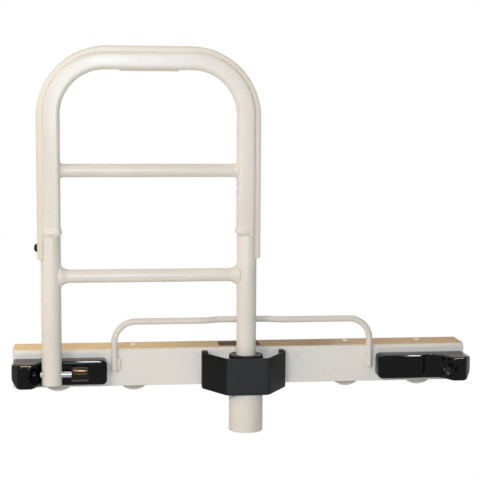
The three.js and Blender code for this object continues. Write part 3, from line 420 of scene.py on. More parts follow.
def move(piece, place):
    """Shifts a piece's mesh by millimetres."""
    piece.data.transform(Matrix.Translation(Vector(place) / 1000))


def read_points(piece):
    """A piece's vertices in millimetres, one in each row."""
    flat = np.empty(3 * len(piece.data.vertices), np.float32)
    piece.data.vertices.foreach_get("co", flat)
    return flat.reshape(-1, 3).astype(float) * 1000


def write_points(piece, points):
    """Moves a piece's vertices to new places in millimetres."""
    piece.data.vertices.foreach_set("co", (points / 1000).astype(np.float32).ravel())
    piece.data.update()


def merged(name, *pieces):
    """One object from several."""
    points, faces, start = [], [], 0
    for piece in pieces:
        points.append(read_points(piece))
        faces += [tuple(start + i for i in face.vertices) for face in piece.data.polygons]
        start += len(points[-1])
        bpy.data.objects.remove(piece)
    return build(name, np.concatenate(points), faces)


def keeper_line(reach, foot, crown, corner, jog):
    """The wire's line, evenly stepped: up from the right foot, over, back behind the post by the
    jog's depth between its two places along X, and mirrored to the left foot."""
    jog_start, jog_end, jog_depth = jog
    outline = ([(reach, z) for z in np.linspace(foot, crown - corner, 6)][:-1]
               + arc((reach - corner, crown - corner), corner, 0, 90, 20)
               + [(x, crown) for x in np.linspace(reach - corner, jog_start, 5)][1:-1]
               + [(x, crown) for x in np.linspace(jog_start, jog_end, 16)]
               + [(x, crown) for x in np.linspace(jog_end, 0, 4)][1:])
    half = np.array([(x, face - gap - wire, z) for x, z in outline])
    share = np.clip((jog_start - np.abs(half[:, 0])) / (jog_start - jog_end), 0, 1)
    share *= half[:, 2] > crown - 1
    half[:, 1] += jog_depth * share * share * (3 - 2 * share)
    line = np.concatenate([half, (half * (-1, 1, 1))[-2::-1]])
    run = np.concatenate([[0], np.cumsum(np.linalg.norm(np.diff(line, axis=0), axis=1))])
    even = np.linspace(0, run[-1], 160)
    return np.stack([np.interp(even, run, line[:, axis]) for axis in range(3)], 1)


def keeper_bead(side, radius, half, flat, inset):
    """A weld bead along the inner side of one foot, flattened. Its radius follows the root of 1 less
    the fourth power of the height's share, with a ripple of a 25th."""
    profile = [(radius * (1 - h ** 4) ** 0.5 * (1 + 0.04 * sin(27 * h)), half * h)
               for h in np.linspace(-1, 1, 41)]
    bead = turned("bead", profile, sides=24, sharp=80)
    bead.data.transform(Matrix.Diagonal((1.0, flat, 1.0, 1.0)))
    move(bead, (side * (keeper_reach - inset), face - 2.7, keeper_foot + half + 0.2))
    return bead


wire, keeper_reach, keeper_foot, keeper_crown = 4.6, 190, top - 32, top + 40.9
circle = [(wire * cos(a), wire * sin(a)) for a in np.arange(28) * 2 * pi / 28]
line = keeper_line(keeper_reach, keeper_foot, keeper_crown, corner=31, jog=(62, 34, 8))
keeper = sweep("keeper", circle, line, edge=0.5)
beads = [keeper_bead(side, radius=4.0, half=9.4, flat=0.62, inset=5.7) for side in (-1, 1)]
keeper = merged("keeper", keeper, *beads)
dress(keeper, powder_coat("keeper_coat", (3, 1, 0), shine=0.2), "frame", "cream_paint", "mattress_keeper")


# Post socket: a thick, powder-coated steel tube with softened ends, welded to the channel by two
# plates, and its black nylon bushing, pressed in, whose round-edged collar stands above it.
def ring_profile(inner, outer, low, high, edge):
    """A tube's closed profile with rounded edges, first point repeated at the end."""
    loop = rounded([(outer, low), (outer, high), (inner, high), (inner, low)], edge, 4)
    return np.concatenate([loop, loop[:1]])


def moulding(name, dark, light, roughness, grain, depth, shift=(0, 0, 0), flank_shade_from=None, wear=1.0,
             **constants):
    """Moulded plastic: fine grain, slow clouding, rubbed patches and fine dust, and painted shade on the
    flanks beyond a half width if one is given."""
    paint = Paint(name, **constants)
    cloud = paint.noise(0.05, detail=3, shift=shift)
    rubbed = paint.noise(0.012, (3, 1, 1), 5, shift, 0.65).step(0.55, 0.75)
    dust = paint.spots(0.0035, 0.06, shift) * cloud.step(0.45, 0.6)
    colour = paint.blend(cloud, dark, light)
    if flank_shade_from:
        # Painted shade: the flanks are darker than the front.
        aside = paint.along(0).math("ABSOLUTE").step(flank_shade_from, flank_shade_from + 0.006)
        colour = paint.blend(aside * 0.85, colour, (0.002, 0.002, 0.002))
    colour = paint.blend(dust * 0.35, colour, (0.35, 0.33, 0.30))
    rough = (cloud * 0.08 + rubbed * 0.07) * wear + (roughness - 0.06)
    normal = paint.bump(paint.noise(grain, detail=3, shift=shift), depth)
    return paint.finish(colour, rough + dust * 0.3, normal)


(_, _, socket_low), (socket_radius, _, socket_high) = extent("pivot_socket")
post, socket_wall, leg_radius = middle("pivot_socket")[1], 3.0, 14.3
socket = turned("socket", ring_profile(socket_radius - socket_wall, socket_radius, socket_low, socket_high,
                                       0.8), (0, post, 0), sides=96)
dress(socket, powder_coat("socket_coat", (5, 0, 2), shine=0.1), "frame", "cream_paint", "pivot_socket")
(_, _, bushing_low), (_, _, bushing_high) = extent("upper_bushing")
bore, spigot, rim, seat = leg_radius + gap, 21.4, 24.7, socket_high + gap
collar = rounded([(bore, bushing_low), (spigot, bushing_low), (spigot, seat), (rim, seat),
                  (rim, bushing_high), (bore, bushing_high)], [0.4, 0.8, 0, 0.4, 0.9, 0.6], 4)
bushing = turned("bushing", [*collar, collar[0]], (0, post, 0), sides=96)
nylon = moulding("nylon", (0.007, 0.007, 0.008), (0.012, 0.012, 0.013), roughness=0.42, grain=0.0012,
                 depth=0.00002, Specular_IOR_Level=0.07)
dress(bushing, nylon, "frame", "black_nylon", "upper_bushing")


# Post cover: a dark moulded band round the socket with widely turned corners and rounded edges. Its
# sides are thickened by lugs, and its two feet are screwed to the channel from inside.
def cover_lug(side, centre, half, front, inner):
    """A rounded upright block in one end of the cover, cut back to inner from the middle."""
    x, low, high = side * centre, front, back_y - 0.2
    outline = rounded([(x - half, low), (x + half, low), (x + half, high), (x - half, high)], 2.2, 5)
    lug = sweep("lug", outline, [(0, 0, z) for z in np.linspace(-29, 23.6, 6)], edge=1.8)
    slim = [side * inner, side * (inner - 8)]
    return carve(lug, brick("slim", (min(slim), back_y - 20, -40), (max(slim), back_y + 3, 40)))


(_, front_y, cover_low), (cover_half, back_y, cover_high) = extent("pivot_cover")
wall, front_half, front_inner, foot_reach = 3.5, 30.0, 28.3, 40.2
corner_depth, inner_corner_depth, inner_half = 15.75, 14.4, cover_half - wall
right_half = [(front_half, front_y), (cover_half, back_y - corner_depth), (cover_half, back_y),
              (foot_reach, back_y), (foot_reach, back_y - wall), (inner_half, back_y - wall),
              (inner_half, back_y - inner_corner_depth), (front_inner, front_y + wall)]
corner_radii = [11, 6, 5, 1, 1, 1.5, 2.5, 7.5]
outline = rounded(right_half + [(-x, y) for x, y in right_half[::-1]], corner_radii + corner_radii[::-1], 8)
cover = sweep("cover", outline, [(0, 0, z) for z in np.linspace(cover_low, cover_high, 10)], edge=1.0)
foot_top, clear = 4.7, inner_half - 0.05
carve(cover, brick("above_feet", (-clear, back_y - 14, foot_top), (clear, back_y + 2, 30)))
lugs = [cover_lug(side, centre=53.6, half=8.3, front=back_y - 16.5, inner=53.3) for side in (-1, 1)]
carve(cover, *lugs, operation="UNION")
# The cover's flanks beyond 28 mm get painted shade.
cover_plastic = moulding("cover_plastic", (0.029, 0.030, 0.032), (0.036, 0.038, 0.041), roughness=0.42,
                         grain=0.0009, depth=0.00004, shift=(2, 5, 1), flank_shade_from=0.028,
                         Specular_IOR_Level=0.06)
dress(cover, cover_plastic, "frame", "dark_cover", "pivot_cover")


# Catches: a pair of glossy black mouldings, bolted on from inside the channel. Each is a block with
# a saddle for the leg and a tower with a slanted cam face, a round dish and the lock hole.
def soften(piece, voxel, passes):
    """Rebuilds a solid as an even grid of faces and rounds all its edges."""
    grid = piece.modifiers.new("grid", "REMESH")
    grid.mode, grid.voxel_size, grid.use_smooth_shade = "VOXEL", voxel / 1000, True
    ease = piece.modifiers.new("ease", "SMOOTH")
    ease.factor, ease.iterations = 0.5, passes
    bake(piece, 180)


def catch(name, side):
    """One catch; side is -1 on the left and 1 on the right."""
    (inner, tower, low), (outer, back, high) = extent("right_catch")
    block, cam_start, cam_end, chamfer_start = back - 26.7, 294.3, 306.5, 326
    plan = [(inner, 3), (inner, block), (cam_start, block), (cam_end, tower), (chamfer_start, tower),
            (outer, tower + 15), (outer, 3)]
    plan = rounded([(side * x, y) for x, y in plan][::side], [3, 7, 9, 9, 9, 9, 3][::side], 10)
    body = sweep(name, plan, [(0, 0, z) for z in np.linspace(low, high, 8)], edge=2.9)
    front = [(inner - 0.1, low - 0.1), (outer - 8.5, low - 0.1), (outer + 0.1, low + 12),
             (outer + 0.1, high + 0.1), (inner - 0.1, high + 0.1)]
    front = rounded([(side * x, z) for x, z in front][::side], [7, 5, 6, 6, 7][::side], 10)
    front = sweep("front", [(-x, z) for x, z in front][::-1], [(0, -70, 0), (0, back, 0)], (0, 0, 1))
    crown = rounded([(tower - 0.1, low - 5), (5, low - 5), (5, high + 5), (tower + 14.2, high + 5),
                     (tower + 14, high + 0.1), (tower - 0.1, high + 0.1)], [0, 0, 0, 0, 0, 14], 16)
    crown = sweep("crown", crown, [(x, 0, 0) for x in (-345, 345)], (0, 0, 1))
    carve(body, front, operation="INTERSECT")
    carve(body, crown, operation="INTERSECT")
    saddle = [(side * spacing + 11.5 * cos(a), block + 3.5 * sin(a)) for a in np.arange(64) * 2 * pi / 64]
    saddle = sweep("saddle", saddle, [(0, 0, -60), (0, 0, 60)])
    mouth = cam_start + (cam_end - cam_start) * (post - block) / (tower - block)
    dish = turned("dish", rounded([(0, -16), (13.6, -16), (12.8, -2), (9.5, 1.6), (0, 1.6)],
                                  [0, 0, 2, 3, 0], 8, False), sides=72)
    lean = Vector((0, 0, 1)).rotation_difference(Vector((side, 1.3, 0)))
    dish.data.transform(lean.to_matrix().to_4x4())
    move(dish, (side * (mouth + 5), post, pin_z))
    hole_radius, hole_depth = 4.85, 28.8
    ends = sorted((side * spacing, side * (spacing + hole_depth)))
    hole = bar("hole", hole_radius, *ends, (0, post, pin_z), "X")
    carve(body, saddle, dish, hole)
    soften(body, voxel=0.62, passes=40)
    return body


spacing, pin_z = -middle("foot_cap")[0], middle("lock_pin")[2]
gloss = moulding("gloss_moulding", (0.001, 0.001, 0.001), (0.002, 0.002, 0.003), roughness=0.1,
                 grain=0.004, depth=0.000003, shift=(1, 7, 3), wear=0.3, Specular_IOR_Level=0.12)
catches = [dress(catch(name + "_moulding", side), gloss, "frame", "black_gloss", name)
           for name, side in (("left_catch", -1), ("right_catch", 1))]


# Web screws: the bolts of the catches and the screws of the cover, steel, zinc plated and a little
# stained. Their sunk heads, with a hexagon key's recess, lie just below the web's inner face.
def plated(name, colour, roughness, stretch=(1, 1, 1)):
    """Plated steel: brushed grain, clouded stains and small dark pits."""
    paint = Paint(name, Metallic=1.0)
    grain = paint.noise(0.0006, stretch, 3)
    stain = paint.noise(0.01, detail=5, rough=0.65).step(0.5, 0.75)
    pits = paint.spots(0.002, 0.07) * paint.noise(0.008).step(0.5, 0.62)
    stained = [part * share for part, share in zip(colour, (0.72, 0.68, 0.60))]
    tone = paint.blend(pits * 0.6, paint.blend(stain * 0.5, colour, stained), (0.12, 0.10, 0.08))
    roughness = grain * 0.15 + stain * 0.18 + (roughness - 0.1)
    return paint.finish(tone, roughness, paint.bump(grain, 0.00001))


def keyed(name, profile, key, depth, place, axis):
    """A turned screw with a hexagon key's recess from depth up, laid along Y or back along X."""
    screw = turned(name, profile, sides=40)
    hexagon = [(key * cos(a), key * sin(a)) for a in np.arange(6) * pi / 3]
    carve(screw, sweep("key", hexagon, [(0, 0, depth), (0, 0, depth + 6)]), sharp=30)
    screw.data.transform(Matrix.Rotation(-pi / 2, 4, {"Y": "X", "-X": "Y"}[axis]))
    move(screw, place)
    return screw


zinc = plated("zinc_plate", (0.62, 0.62, 0.61), roughness=0.38)
for name in (*cover_screws, *catch_bolts):
    reach, radius = -extent(name)[0][1], shank_radius(name)
    profile = rounded([(0, -reach), (radius, -reach), (radius, -(head_share - 1) * radius - gap),
                       (head_share * radius, -gap), (0, -gap)], [0, 0.5, 0.3, 0.25, 0], 5, False)
    x, _, z = middle(name)
    screw = keyed(name + "_screw", profile, 0.62 * radius, -0.6 * radius, (x, 0, z), "Y")
    dress(screw, zinc, "frame", "zinc_steel", name)

# Clamps: enamelled bolts with smooth domed heads through the flange, a plated washer on each and a
# glossy moulded hand knob with a domed underside and a softened rim that runs up the thread.
clamp_coat = moulding("clamp_enamel", (0.78, 0.71, 0.59), (0.84, 0.78, 0.67), roughness=0.3,
                      grain=0.0012, depth=0.00001, shift=(8, 2, 5))
knob_plastic = moulding("knob_plastic", (0.52, 0.49, 0.44), (0.60, 0.565, 0.51), roughness=0.26,
                        grain=0.002, depth=0.00002, shift=(4, 4, 4))
head_radius, head_rim, head_dome, point = 5.0, 0.5, 2.4, 0.4
bolt_hole, washer_radius, hub_radius, knob_radius, ball_radius = bolt_radius + gap, 14.0, 8.0, 18.5, 28.0
for number, (x, y) in enumerate(clamp_places, 1):
    reach = round(top - extent(f"clamp_bolt_{number}")[0][2], 3)
    head = [(head_radius * cos(a), gap + head_rim + head_dome * sin(a))
            for a in np.linspace(0, pi / 2, 12)[:-1]]
    bolt = turned(f"clamp_{number}_bolt",
                  [(0, -reach), (bolt_radius - point, -reach), (bolt_radius, -reach + point),
                   (bolt_radius, gap), (head_radius, gap), *head, (0, gap + head_rim + head_dome)],
                  (x, y, top), sides=48)
    dress(bolt, clamp_coat, "frame", "cream_paint", f"clamp_bolt_{number}")
    (_, _, washer_low), (_, _, washer_high) = extent(f"clamp_washer_{number}")
    washer = turned(f"clamp_{number}_washer",
                    ring_profile(bolt_hole, washer_radius, washer_low, washer_high, 0.5), (x, y, 0))
    dress(washer, zinc, f"clamp_{number}", "zinc_steel", f"clamp_washer_{number}")
    (_, _, knob_low), (_, _, knob_high) = extent(f"clamp_knob_{number}")
    rim_low, rim_high, bore_end = knob_low + 7.2, knob_high - 4, knob_high - 13.25
    dome = [(r, knob_low + ball_radius - np.sqrt(ball_radius ** 2 - r * r))
            for r in np.linspace(17.4, 0, 24)]
    profile = rounded([(0, bore_end), (bolt_hole, bore_end), (bolt_hole, knob_high), (hub_radius, knob_high),
                       (hub_radius, rim_high), (knob_radius, rim_high), (knob_radius, rim_low), dome[0]],
                      [0, 0, 0.4, 0.8, 1.2, 2.6, 1.1, 0], 6, False)[:-1]
    knob = turned(f"clamp_{number}_knob", [*profile, *dome][::-1], (x, y, 0), sides=72)
    dress(knob, knob_plastic, f"knob_{number}", "beige_knob", f"clamp_knob_{number}")


# Handle: a square steel tube with eased edges, powder coated, bent over both legs in one piece. It
# swells at its two feet, where the legs are welded on, and has a slot below for the trigger.
def over(foot, bend=78, steps=40):
    """The handle's line from the right foot over the top to the left foot."""
    spring = crest - bend
    rise = np.concatenate([np.linspace(0, 20, 21), np.linspace(20, spring - foot, 7)[1:]])
    line = ([(0, foot + z) for z in rise][:-1]
            + arc((-bend, spring), bend, 0, 90, steps)
            + [(x, crest) for x in np.linspace(-bend, bend - spacing, 10)][1:-1]
            + arc((bend - spacing, spring), bend, 90, 180, steps)
            + [(-spacing, foot + z) for z in rise[::-1]][1:])
    return [(x, post, z) for x, z in line]


def box_tube(inset, steps):
    """The handle's section, or its hollow's by an inset: u is outward, v is across."""
    low, out, half = inset - leg_radius, outward_half - inset, leg_radius - inset
    return rounded([(low, -half), (out, -half), (out, half), (low, half)], 5.5 - inset, steps)


def swollen(piece):
    """Swells the handle's two feet by a bell curve of the height over the welds, less a narrower one
    at their end, pushed outwards along the fifth powers of the place in the section."""
    points = read_points(piece)
    for x, inward in ((0, -1), (-spacing, 1)):
        u, v, rise = (points[:, 0] - x) * inward, points[:, 1] - post, points[:, 2] - handle_foot
        aim = np.stack([inward * (u / leg_radius) ** 5, (v / leg_radius) ** 5], 1)
        aim /= np.linalg.norm(aim, axis=1)[:, None] + 1e-9
        swell = 2.0 * np.exp(-((rise - 5.8) / 3.8) ** 2) - 1.5 * np.exp(-(rise / 2.4) ** 2)
        swell *= np.clip((u + outward_half) / 7, 0, 1) * (np.abs(u) < 20)
        points[:, :2] += swell[:, None] * aim
    write_points(piece, points)


(_, _, handle_foot), (outward_half, _, handle_top) = extent("handle_frame")
crest, tube_wall, slot_half, slot_side = handle_top - outward_half, 2.0, 42.1, 8.1
handle = sweep("handle", box_tube(0, 8), over(handle_foot - 0.2), edge=0.6)
swollen(handle)
hollow = sweep("hollow", box_tube(tube_wall, 5), over(handle_foot - 5.3))
slot = brick("slot", (-spacing / 2 - slot_half, post - slot_side, crest - 20),
             (-spacing / 2 + slot_half, post + slot_side, crest - 8), 3)
carve(handle, hollow, slot)
dress(handle, powder_coat("handle_coat", (2, 2, 9), ((-0.14, -0.0416, 0.445), 0.10)), "rail",
      "cream_paint", "handle_frame")

# Edge guard: a hollow cream plastic channel pressed round the outside of the handle, closed at its
# two feet round the legs, with a soft outer face. A black screw holds its left foot.
(_, guard_front, guard_foot), (guard_out, guard_back, _) = extent("edge_guard")
guard_half, guard_wall, guard_bend = (guard_back - guard_front) / 2, 1.6, 81.5
screw_z, screw_bore = middle("guard_screw")[2], 2.8
outside = rounded([(6, -guard_half), (guard_out, -guard_half), (guard_out, guard_half), (6, guard_half)],
                  [0, 2.4, 2.4, 0], 6)
guard = sweep("guard", outside, over(guard_foot, guard_bend), edge=0.6)
lip_out, web_out, web_half = 10.72, 11.18, 9.2
below_lips = [(-20, -20), (lip_out, -20), (lip_out, -guard_half), (web_out, -web_half)]
tube_way = rounded(below_lips + [(u, -v) for u, v in below_lips[::-1]],
                   [0, 0, 0.1, 1.5, 1.5, 0.1, 0, 0], 3)
carve(guard, sweep("tube_way", tube_way, over(guard_foot - 8)))
inner_out, within_half = guard_out - guard_wall, guard_half - guard_wall
within = rounded([(5, -within_half), (inner_out, -within_half), (inner_out, within_half), (5, within_half)],
                 0.5, 3)
carve(guard, sweep("within", within, over(guard_foot + guard_wall, guard_bend)),
      *[bar("leg", leg_radius + gap, 150, handle_foot, (x, post, 0), "Z", 96) for x in (0, -spacing)],
      bar("hole", screw_bore, -spacing - 25, -spacing, (0, post, screw_z), "X", 24))
guard_plastic = moulding("guard_plastic", (0.735, 0.665, 0.545), (0.80, 0.735, 0.62), roughness=0.36,
                         grain=0.0015, depth=0.00003, shift=(6, 1, 2))
dress(guard, guard_plastic, "rail", "cream_guard", "edge_guard")
shank, head, rise, reach = 2.5, 6.0, 4.4, 12.0
profile = rounded([(0, -reach), (shank, -reach), (shank, gap), (head, gap), (head * 0.93, gap + rise * 0.5),
                   (head * 0.55, gap + rise * 0.93), (0, gap + rise)], [0, 0.5, 0, 0.3, 1.2, 2, 0], 5, False)
screw = keyed("guard_fixing", profile, 2.0, gap + rise * 0.35, (-spacing - guard_out, post, screw_z), "-X")
dress(screw, nylon, "rail", "black_nylon", "guard_screw")


# Legs: round, powder-coated steel tubes butt-welded under the handle. Each weld is a low bead of
# overlapping ripples; the left leg is bored for the lock pin and the guard's screw.
def leg_bead(x, radius, height, sides=160, rows=9):
    """A weld bead round the leg's top: half a circle, whose bulge ripples by sines of the angle. It is
    hollow inside and cut away where the guard's foot is."""
    angles = np.arange(sides) * 2 * pi / sides
    ripple = 0.55 + 0.14 * np.abs(np.sin(angles * 11)) + 0.10 * np.sin(angles * 3 + x)
    rings = []
    for a in np.linspace(0, pi, rows):
        r = radius + 0.6 * ripple * sin(a)
        z = height - 1.5 * cos(a) + 0.12 * np.sin(angles * 22) * sin(a)
        rings.append(np.stack([x + r * np.cos(angles), post + r * np.sin(angles), z], 1))
    bead = build("bead", np.concatenate(rings), skin(rows, sides))
    core = bar("core", 13.3, height - 8.9, height + 6.1, (x, post, 0), "Z", 64)
    ends = sorted((1 if x == 0 else -1) * reach for reach in (outward_half, 21))
    keep_out = brick("keep_out", (x + ends[0], post - guard_half - gap, guard_foot - gap),
                     (x + ends[1], post + guard_half + gap, height + 7.1))
    return carve(bead, core, keep_out)


leg_coat = powder_coat("leg_coat", (0, 9, 4), ((-0.2794, -0.0416, 0.0), 0.05))
pin_radius = 4.25
for name, x in (("left_leg", -spacing), ("pivot_leg", 0)):
    (_, _, leg_low), (_, _, leg_top) = extent(name)
    profile = ring_profile(leg_radius - tube_wall, leg_radius, leg_low, leg_top, 0.5)
    leg = turned(name + "_tube", profile, (x, post, 0), sides=96)
    bead = leg_bead(x, leg_radius - 0.1, leg_top - 1.1)
    if name == "left_leg":
        carve(leg, bar("pin_way", pin_radius + gap, x - 20, x + 20, (0, post, pin_z), "X"),
              bar("screw_way", screw_bore, x - 20, x, (0, post, screw_z), "X"))
    dress(merged(name + "_tube", leg, bead), leg_coat, "rail", "cream_paint", name)


# Rungs: round, powder-coated steel bars between the legs. The lower one meets the round legs in
# wide trumpet welds, the upper one meets the flat tube in smaller ones.
def rung(name, node, flare, length, depth):
    """A bar whose radius swells to flare over length before each leg, by the power 2.4 of the share
    that is left, less in depth, and with a fine ripple of 14 sines round the weld."""
    reach, stub = spacing / 2 - leg_radius, 3.5
    run = np.linspace(0, 1, 14)
    swell = rung_radius + (flare - rung_radius) * (1 - run) ** 2.4
    near_end = [(r, -reach + length * t) for r, t in zip(swell, run)]
    between = [(rung_radius, x) for x in np.linspace(-reach + length, reach - length, 9)[1:-1]]
    far_end = [(r, -x) for r, x in near_end[::-1]]
    profile = [(0, -reach - stub), (flare, -reach - stub), *near_end, *between, *far_end,
               (flare, reach + stub), (0, reach + stub)]
    piece = turned(name, profile, axis="X", sides=72)
    points = read_points(piece)
    radius = np.hypot(points[:, 1], points[:, 2])
    share = np.clip((radius - rung_radius) / (flare - rung_radius), 0, 1)
    ripple = 1 + 0.012 * np.sin(np.arctan2(points[:, 2], points[:, 1]) * 14) * share
    points[:, 1] *= (1 - (1 - depth) * share) * ripple
    points[:, 2] *= ripple
    write_points(piece, points + (-spacing / 2, post, middle(node)[2]))
    return piece


rung_radius, leg_hollow, tube_side = 9.525, leg_radius - 0.05, leg_radius - 0.1
lower = rung("lower_rung_bar", "lower_rung", flare=15.2, length=13, depth=0.80)
carve(lower, *[bar("leg", leg_hollow, 100, 180, (x, post, 0), "Z", 96) for x in (0, -spacing)])
upper = rung("upper_rung_bar", "upper_rung", flare=11.6, length=6, depth=0.92)
carve(upper, brick("tube", (-tube_side, post - 20, 250), (15, post + 20, 330)),
      brick("tube", (-spacing - 15, post - 20, 250), (-spacing + tube_side, post + 20, 330)))
rung_coat = powder_coat("rung_coat", (7, 3, 3))
dress(lower, rung_coat, "rail", "cream_paint", "lower_rung")
dress(upper, rung_coat, "rail", "cream_paint", "upper_rung")

# Trigger: a moulded cream bar that hangs a little below the handle, with softened ends and lower
# edges. A lip keeps it in its slot, and a cam plate in the tube pushes the cable's slide.
bar_left, bar_half, bar_side, hang = -spacing / 2 - 41.5, 41.5, 7.5, 2.0
bar_low = crest - leg_radius - hang
lip_low = crest - leg_radius + 9.3
section = rounded([(post - bar_side, bar_low), (post + bar_side, bar_low), (post + bar_side, lip_low + 2),
                   (post - bar_side, lip_low + 2)], [2.2, 2.2, 1.2, 1.2], 6)
stations = [(x, 0, 0) for x in np.linspace(bar_left, bar_left + 2 * bar_half, 12)]
trigger = sweep("trigger_bar", section, stations, (0, 0, 1), 1.2)
cam_low, cam_high, cam_half, pin_way, cam_travel = crest - 5.0, crest + 8.8, 2.0, 1.13, 7.0
cam = brick("cam", (bar_left - 13.8, post - cam_half, cam_low), (bar_left + 4, post + cam_half, cam_high))
cam_x, cam_z = bar_left - 3.4, cam_low + 3.4
cam_slot = rounded([(cam_x + pin_way, cam_z + pin_way),
                    (cam_x - pin_way - cam_travel, cam_z + pin_way + cam_travel),
                    (cam_x - cam_travel - 2.4, cam_z + cam_travel + 0.15),
                    (cam_x - pin_way, cam_z - pin_way), (cam_x + 0.1, cam_z - 2.3)],
                   [1.2, 1.4, 1.2, 1.2, 1.2], 5)
cam_slot = [(-x, z) for x, z in cam_slot][::-1]
carve(cam, sweep("slot", cam_slot, [(0, post - 5, 0), (0, post + 5, 0)], (0, 0, 1)))
slot_lip = brick("lip", (bar_left + 0.1, post - 8.8, lip_low),
                 (bar_left + 2 * bar_half - 0.1, post + 8.8, lip_low + 2.5), 1.0)
carve(trigger, slot_lip, cam, operation="UNION")
dress(trigger, guard_plastic, "trigger", "cream_guard", "trigger")


# Lock pin: a hard chromed steel bolt with a rounded nose, fine turning marks and scuffs, and its
# black moulded knob with soft rims, pressed on its inner end.
def turned_chrome(name):
    """Dark chrome: fine rings from the lathe and scuffs along X."""
    paint = Paint(name, Metallic=1.0)
    rings = paint.noise(0.0004, (1, 12, 12), 2)
    scuff = paint.noise(0.003, (5, 1, 1), 5, rough=0.7).step(0.55, 0.75)
    tone = paint.blend(scuff * 0.4, (0.33, 0.33, 0.38), (0.26, 0.25, 0.26))
    return paint.finish(tone, scuff * 0.2 + rings * 0.06 + 0.13, paint.bump(rings, 0.000008))


chrome = turned_chrome("pin_chrome")
(tip, _, _), (pin_end, _, _) = extent("lock_pin")
(knob_start, _, _), (knob_end, _, _) = extent("pin_knob")
pin = turned("pin", rounded([(0, tip), (pin_radius, tip), (pin_radius, pin_end), (0, pin_end)],
                            [0, 1.4, 0.3, 0], 6, False), (0, post, pin_z), "X")
dowel_x, dowel_radius = middle("pin_dowel")[0], 1.5
carve(pin, bar("dowel_way", dowel_radius + 0.1, -15, 15, (dowel_x, post, pin_z), "Y", 24))
dress(pin, chrome, "lock_pin", "chrome", "lock_pin")
knob_bore, grip_radius, bore_floor = pin_radius + gap, 10.0, pin_end + gap
knob = turned("pin_grip", rounded([(0, bore_floor), (knob_bore, bore_floor), (knob_bore, knob_start),
                                   (grip_radius, knob_start), (grip_radius, knob_end), (0, knob_end)],
                                  [0, 0, 0.3, 2.4, 2.6, 0], 8, False)[::-1],
              (0, post, pin_z), "X", 72)
# The warm specular tint is a painted warm reflection on the grip.
grip = moulding("grip_plastic", (0.004, 0.004, 0.004), (0.008, 0.007, 0.006), roughness=0.2,
                grain=0.003, depth=0.00002, shift=(3, 3, 1), Specular_IOR_Level=0.15,
                Specular_Tint=(1.0, 0.68, 0.38, 1.0))
grip_piece = dress(knob, grip, "lock_pin", "black_gloss", "pin_knob")

# Parts inside and below: plates, washers, bushings, plugs, wires and springs, pressed, welded or
# held by the pieces round them. They keep their solids, with the metal or plastic of their slots.
wire_steel = plated("wire_steel", (0.42, 0.42, 0.43), roughness=0.34, stretch=(1, 1, 6))
inner_coat = powder_coat("inner_coat", (4, 6, 1))
slots = {part["node"]: part["material_slot"] for part in frame["record"]["subparts"]}
kinds = {"zinc_steel": zinc, "spring_steel": wire_steel, "black_nylon": nylon, "cream_paint": inner_coat,
         "chrome": chrome, "black_gloss": gloss, "beige_knob": knob_plastic, "cream_guard": guard_plastic,
         "dark_cover": nylon}
for name, node in frame["nodes"].items():
    node.data.materials.clear()
    node.data.materials.append(kinds[slots[name]])


# Floor and backdrop: one pale sheet that runs under and behind the rail, and a pale room. The
# camera sees both as white, and the floor keeps a trace of the rail's shadow.
def shown(nodes, plain, bright):
    """The bright shader for camera, glossy and transmission rays, and the plain one for others."""
    rays = [nodes.node("ShaderNodeLightPath", {}, f"Is {kind} Ray")
            for kind in ("Camera", "Glossy", "Transmission")]
    share = rays[0].math("MAXIMUM", rays[1]).math("MAXIMUM", rays[2])
    return nodes.node("ShaderNodeMixShader", {0: share, 1: plain, 2: bright})


floor_z, floor_side, floor_front, floor_back, shadow_share = -0.42, 6, -4, 6, 0.03
corners = [(-floor_side, floor_front, floor_z), (floor_side, floor_front, floor_z),
           (floor_side, floor_back, floor_z), (-floor_side, floor_back, floor_z)]
floor = bpy.data.objects.new("floor", bpy.data.meshes.new("floor"))
floor.data.from_pydata(corners, [], [(0, 1, 2, 3)])
bpy.context.scene.collection.objects.link(floor)
pale = Paint("floor_pale", Roughness=0.7, Base_Color=(0.82, 0.80, 0.77, 1.0))
plain = Value(pale, pale.shader.outputs[0])
glow = pale.node("ShaderNodeEmission", {"Color": (1, 1, 1, 1), "Strength": 1.02})
shaded = pale.node("ShaderNodeMixShader", {0: shadow_share, 1: glow, 2: plain})
pale.fill(pale.tree.nodes["Material Output"], {"Surface": shown(pale, plain, shaded)})
floor.data.materials.append(pale.material)

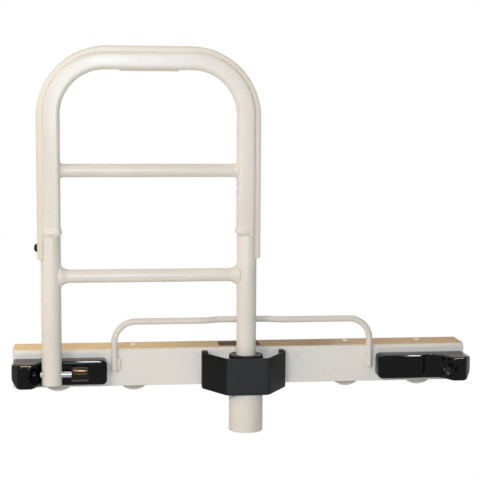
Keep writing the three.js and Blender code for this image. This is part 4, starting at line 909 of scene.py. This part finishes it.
world = bpy.data.worlds.new("studio")
bpy.context.scene.world = world
world.use_nodes = True
sky = Nodes(world.node_tree)
room = sky.tree.nodes["Background"]
sky.fill(room, {"Color": (1.0, 0.91, 0.81, 1), "Strength": 0.23})
white = sky.node("ShaderNodeBackground", {"Color": (1, 1, 1, 1), "Strength": 1.0})
sky.fill(sky.tree.nodes["World Output"], {"Surface": shown(sky, Value(sky, room.outputs[0]), white)})


# Lights: a soft cool one just above the lens, which glows back from the top bar, a neutral one and
# a large warm one on the left, weak warm ones behind and above, and small glints that only the
# glossy black pieces reflect.
def lamp(name, place, target, size, power, colour, depth=None):
    """An area light that faces a target, square unless a depth is given."""
    light = bpy.data.lights.new(name, "AREA")
    light.shape = "RECTANGLE"
    light.size, light.size_y, light.energy, light.color = size, depth or size, power, colour
    item = bpy.data.objects.new(name, light)
    item.location = place
    item.rotation_euler = (Vector(target) - Vector(place)).to_track_quat("-Z", "Y").to_euler()
    bpy.context.scene.collection.objects.link(item)
    return item


lamp("front", (-0.18, -1.92, 0.52), (-0.05, 0, 0.2), 0.26, 11, (0.64, 0.82, 1.0))
lamp("front left", (-0.85, -1.7, 0.8), (-0.1, 0, 0.1), 0.5, 10.5, (1.0, 0.95, 0.88))
lamp("left", (-1.7, -0.7, 1.3), (-0.2, 0, 0.1), 0.9, 9, (1.0, 0.80, 0.60))
lamp("back left", (-1.1, 0.5, 0.6), (-0.2, 0, 0.1), 0.4, 2, (1.0, 0.86, 0.66))
lamp("above", (-0.1, 0.1, 2.2), (-0.1, 0, 0.1), 1.2, 7, (1.0, 0.80, 0.58))
glossy = bpy.data.collections.new("glossy_pieces")
for piece in (*catches, grip_piece):
    glossy.objects.link(piece)
for name, place, target, size, power, colour, depth in (
        ("glint left", (-0.226, -0.7, 1.5), (-0.226, -0.1, 0), 0.062, 34, (1.0, 0.97, 0.92), 0.45),
        ("glint right", (0.682, -0.7, 1.5), (0.682, -0.1, 0), 0.036, 24, (1.0, 0.97, 0.92), 0.45),
        ("warm left", (-0.40, -0.25, 1.6), (-0.40, 0, 0), 0.1, 12, (1.0, 0.70, 0.35), 0.3),
        ("warm right", (0.80, -0.25, 1.6), (0.80, 0, 0), 0.08, 6, (1.0, 0.74, 0.42), 0.2)):
    lamp(name, place, target, size, power, colour, depth).light_linking.receiver_collection = glossy
